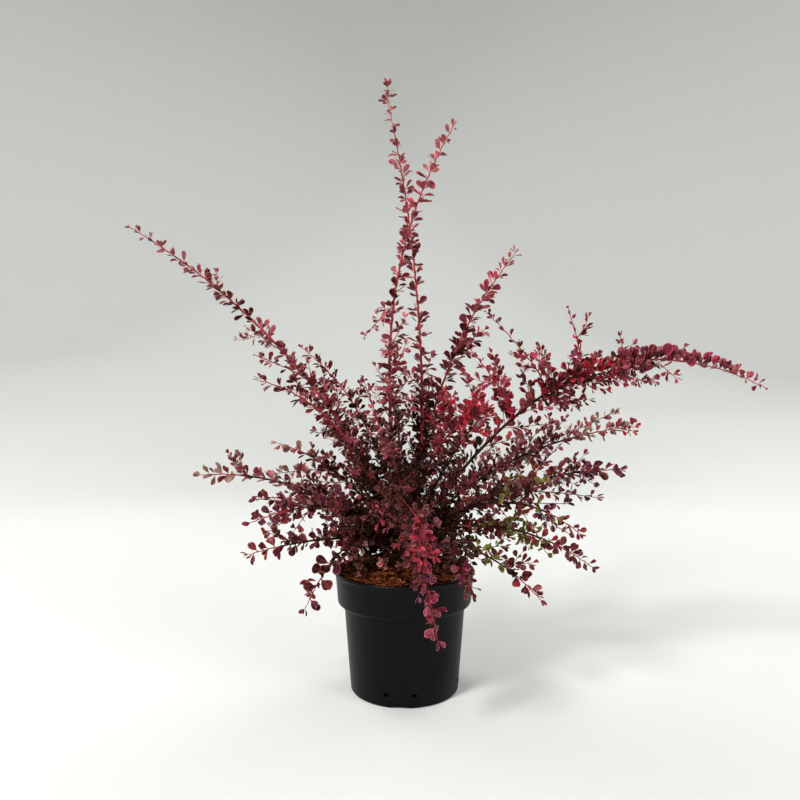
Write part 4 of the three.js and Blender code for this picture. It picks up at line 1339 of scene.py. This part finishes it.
def make_bark(plants, shoots, limb_nodes, mass_nodes):
    old, young, brown = Pile(), Pile(), Pile()

    def twig_bark(pile, k, part, step, zigzag):
        points, radii = stretch_of(part, 0, 1, step, zigzag)
        tube(pile, points, radii * 0.8, part.side, 6, bark_relief(k, 0.05))

    for k, shoot in enumerate(shoots):
        twig_bark(brown, k, shoot, 5.0, 0)
    for index, (cane, stem, branches, twigs, fine) in enumerate(plants):
        change = max(cane.bare, RED_FROM.get(cane.tone, RED_FROM_OTHERS))
        slim = SLIM.get(cane.name, 1.0)
        points, radii = stretch_of(stem, 0, change, 3.2)
        radii = radii * between(1.0, slim, np.minimum(1.0, np.arange(len(radii)) / 12))
        tube(old, points, radii, stem.side, 10, bark_relief(index, 0.08))
        points, radii = stretch_of(stem, change - 0.004, 1, 3.2, 0.4)
        tube(young, points, radii * 0.94 * slim, stem.side, 8, bark_relief(index, 0.06))
        side = brown if cane.tone in BROWN_TWIGS else young
        for k, (part, _) in enumerate(branches + twigs):
            twig_bark(side, k, part, 3.4, 0.35)
        for k, (part, _) in enumerate(fine):
            points, radii = stretch_of(part, 0, 1, 4.6, 0.2)
            # Fine twigs that start in the plant's shaded middle take the darker brown bark: painted
            # shade
            made = brown if deepness(points[0]) < 1.8 else side
            tube(made, points, np.minimum(radii * 0.62, 0.5), part.side, 5, bark_relief(k, 0.04))
    old.build("cane_bark", "cane_bark", limb_nodes)
    young.build("shoot_bark", "foliage", mass_nodes)
    brown.build("twig_bark", "foliage", mass_nodes)


def make_leaves(plants, shoots, mass_nodes):
    leaves = {tint: Leaves() for tint in TINTS}
    spines = Pile()
    for cane, stem, branches, twigs, fine in plants:
        draw = random.Random(f"leaves {cane.name}")
        counts = (5, BRANCH_LOOK.get(cane.name, (5, 1))[0], 4, 4)
        for order, parts in enumerate(([(stem, 0.0)], branches, twigs, fine)):
            for part, base in parts:
                low = LEAFY_FROM[order]
                dress(leaves, spines, draw, cane, part, low, base, counts[order], order)
    shade = next(cane for cane in CANES if cane.tone == "shade")
    draw = random.Random("basal leaves")
    for shoot in shoots:
        dress(leaves, spines, draw, shade, shoot, 0.1, 0.0, 5, 2)
    for tint, made in leaves.items():
        made.pile().build(f"leaves_{tint}", "foliage", mass_nodes)
    spines.build("spines", "foliage", mass_nodes)


# Floor, lights and camera


def make_stage():
    """A round floor that rises into a wall, in millimetres as the rest."""
    profile = [(0, 0), (800, 0), (1300, 0), (1600, 0), (1800, 30), (1980, 120), (2120, 280)]
    mesh = turned("floor", profile + [(2200, 500), (2220, 1000), (2220, 2600)], 96)
    mesh.polygons.foreach_set("use_smooth", [True] * len(mesh.polygons))
    material = bpy.data.materials.new("floor")
    material.use_nodes = True
    shader = shader_of(material)
    shader.inputs["Base Color"].default_value = (0.57, 0.575, 0.56, 1)
    shader.inputs["Roughness"].default_value = 0.9
    shader.inputs["Specular IOR Level"].default_value = 0.1
    mesh.materials.append(material)
    put("floor", mesh)


# Each light's place and width in metres, and its power in watts
LIGHTS = {
    "key": ((-1.0, -1.2, 1.65), 0.5, 40),
    "fill": ((1.3, -1.1, 1.0), 0.9, 12),
    "back_left": ((-1.2, 1.1, 1.3), 1.3, 16),
    "back_right": ((1.2, 1.2, 1.2), 1.3, 16),
}
LIT_POINT = Vector((0, 0, 0.28))


def make_light():
    world = bpy.data.worlds.new("studio")
    world.use_nodes = True
    background = next(n for n in world.node_tree.nodes if n.type == "BACKGROUND")
    background.inputs["Color"].default_value = (1, 1, 1, 1)
    background.inputs["Strength"].default_value = 0.26
    bpy.context.scene.world = world
    for name, (at, size, power) in LIGHTS.items():
        data = bpy.data.lights.new(name, "AREA")
        data.shape = "DISK"
        data.size = size
        data.energy = power
        light = put(name, data)
        light.location = at
        light.rotation_mode = "QUATERNION"
        light.rotation_quaternion = (LIT_POINT - Vector(at)).to_track_quat("-Z", "Y")


def make_camera():
    data = bpy.data.cameras.new("camera")
    data.sensor_width = SENSOR
    data.lens = LENS
    data.clip_start = 0.01
    camera = put("camera", data)
    camera.location = CAMERA_AT
    camera.rotation_euler = (radians(90), 0, 0)
    bpy.context.scene.camera = camera


def main():
    nodes = sorted(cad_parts)
    limb_nodes = [n for n in nodes if n.startswith("cane_")]
    mass_nodes = [n for n in nodes if n.startswith("foliage_")]
    make_camera()
    make_stage()
    make_light()
    make_pot()
    make_mix()
    make_short_stem()
    plants = grow()
    shoots = basal_shoots()
    make_bark(plants, shoots, limb_nodes, mass_nodes)
    make_leaves(plants, shoots, mass_nodes)
    bpy.context.scene.view_settings.view_transform = "Standard"
    bpy.context.scene.view_settings.look = "Medium High Contrast"


main()
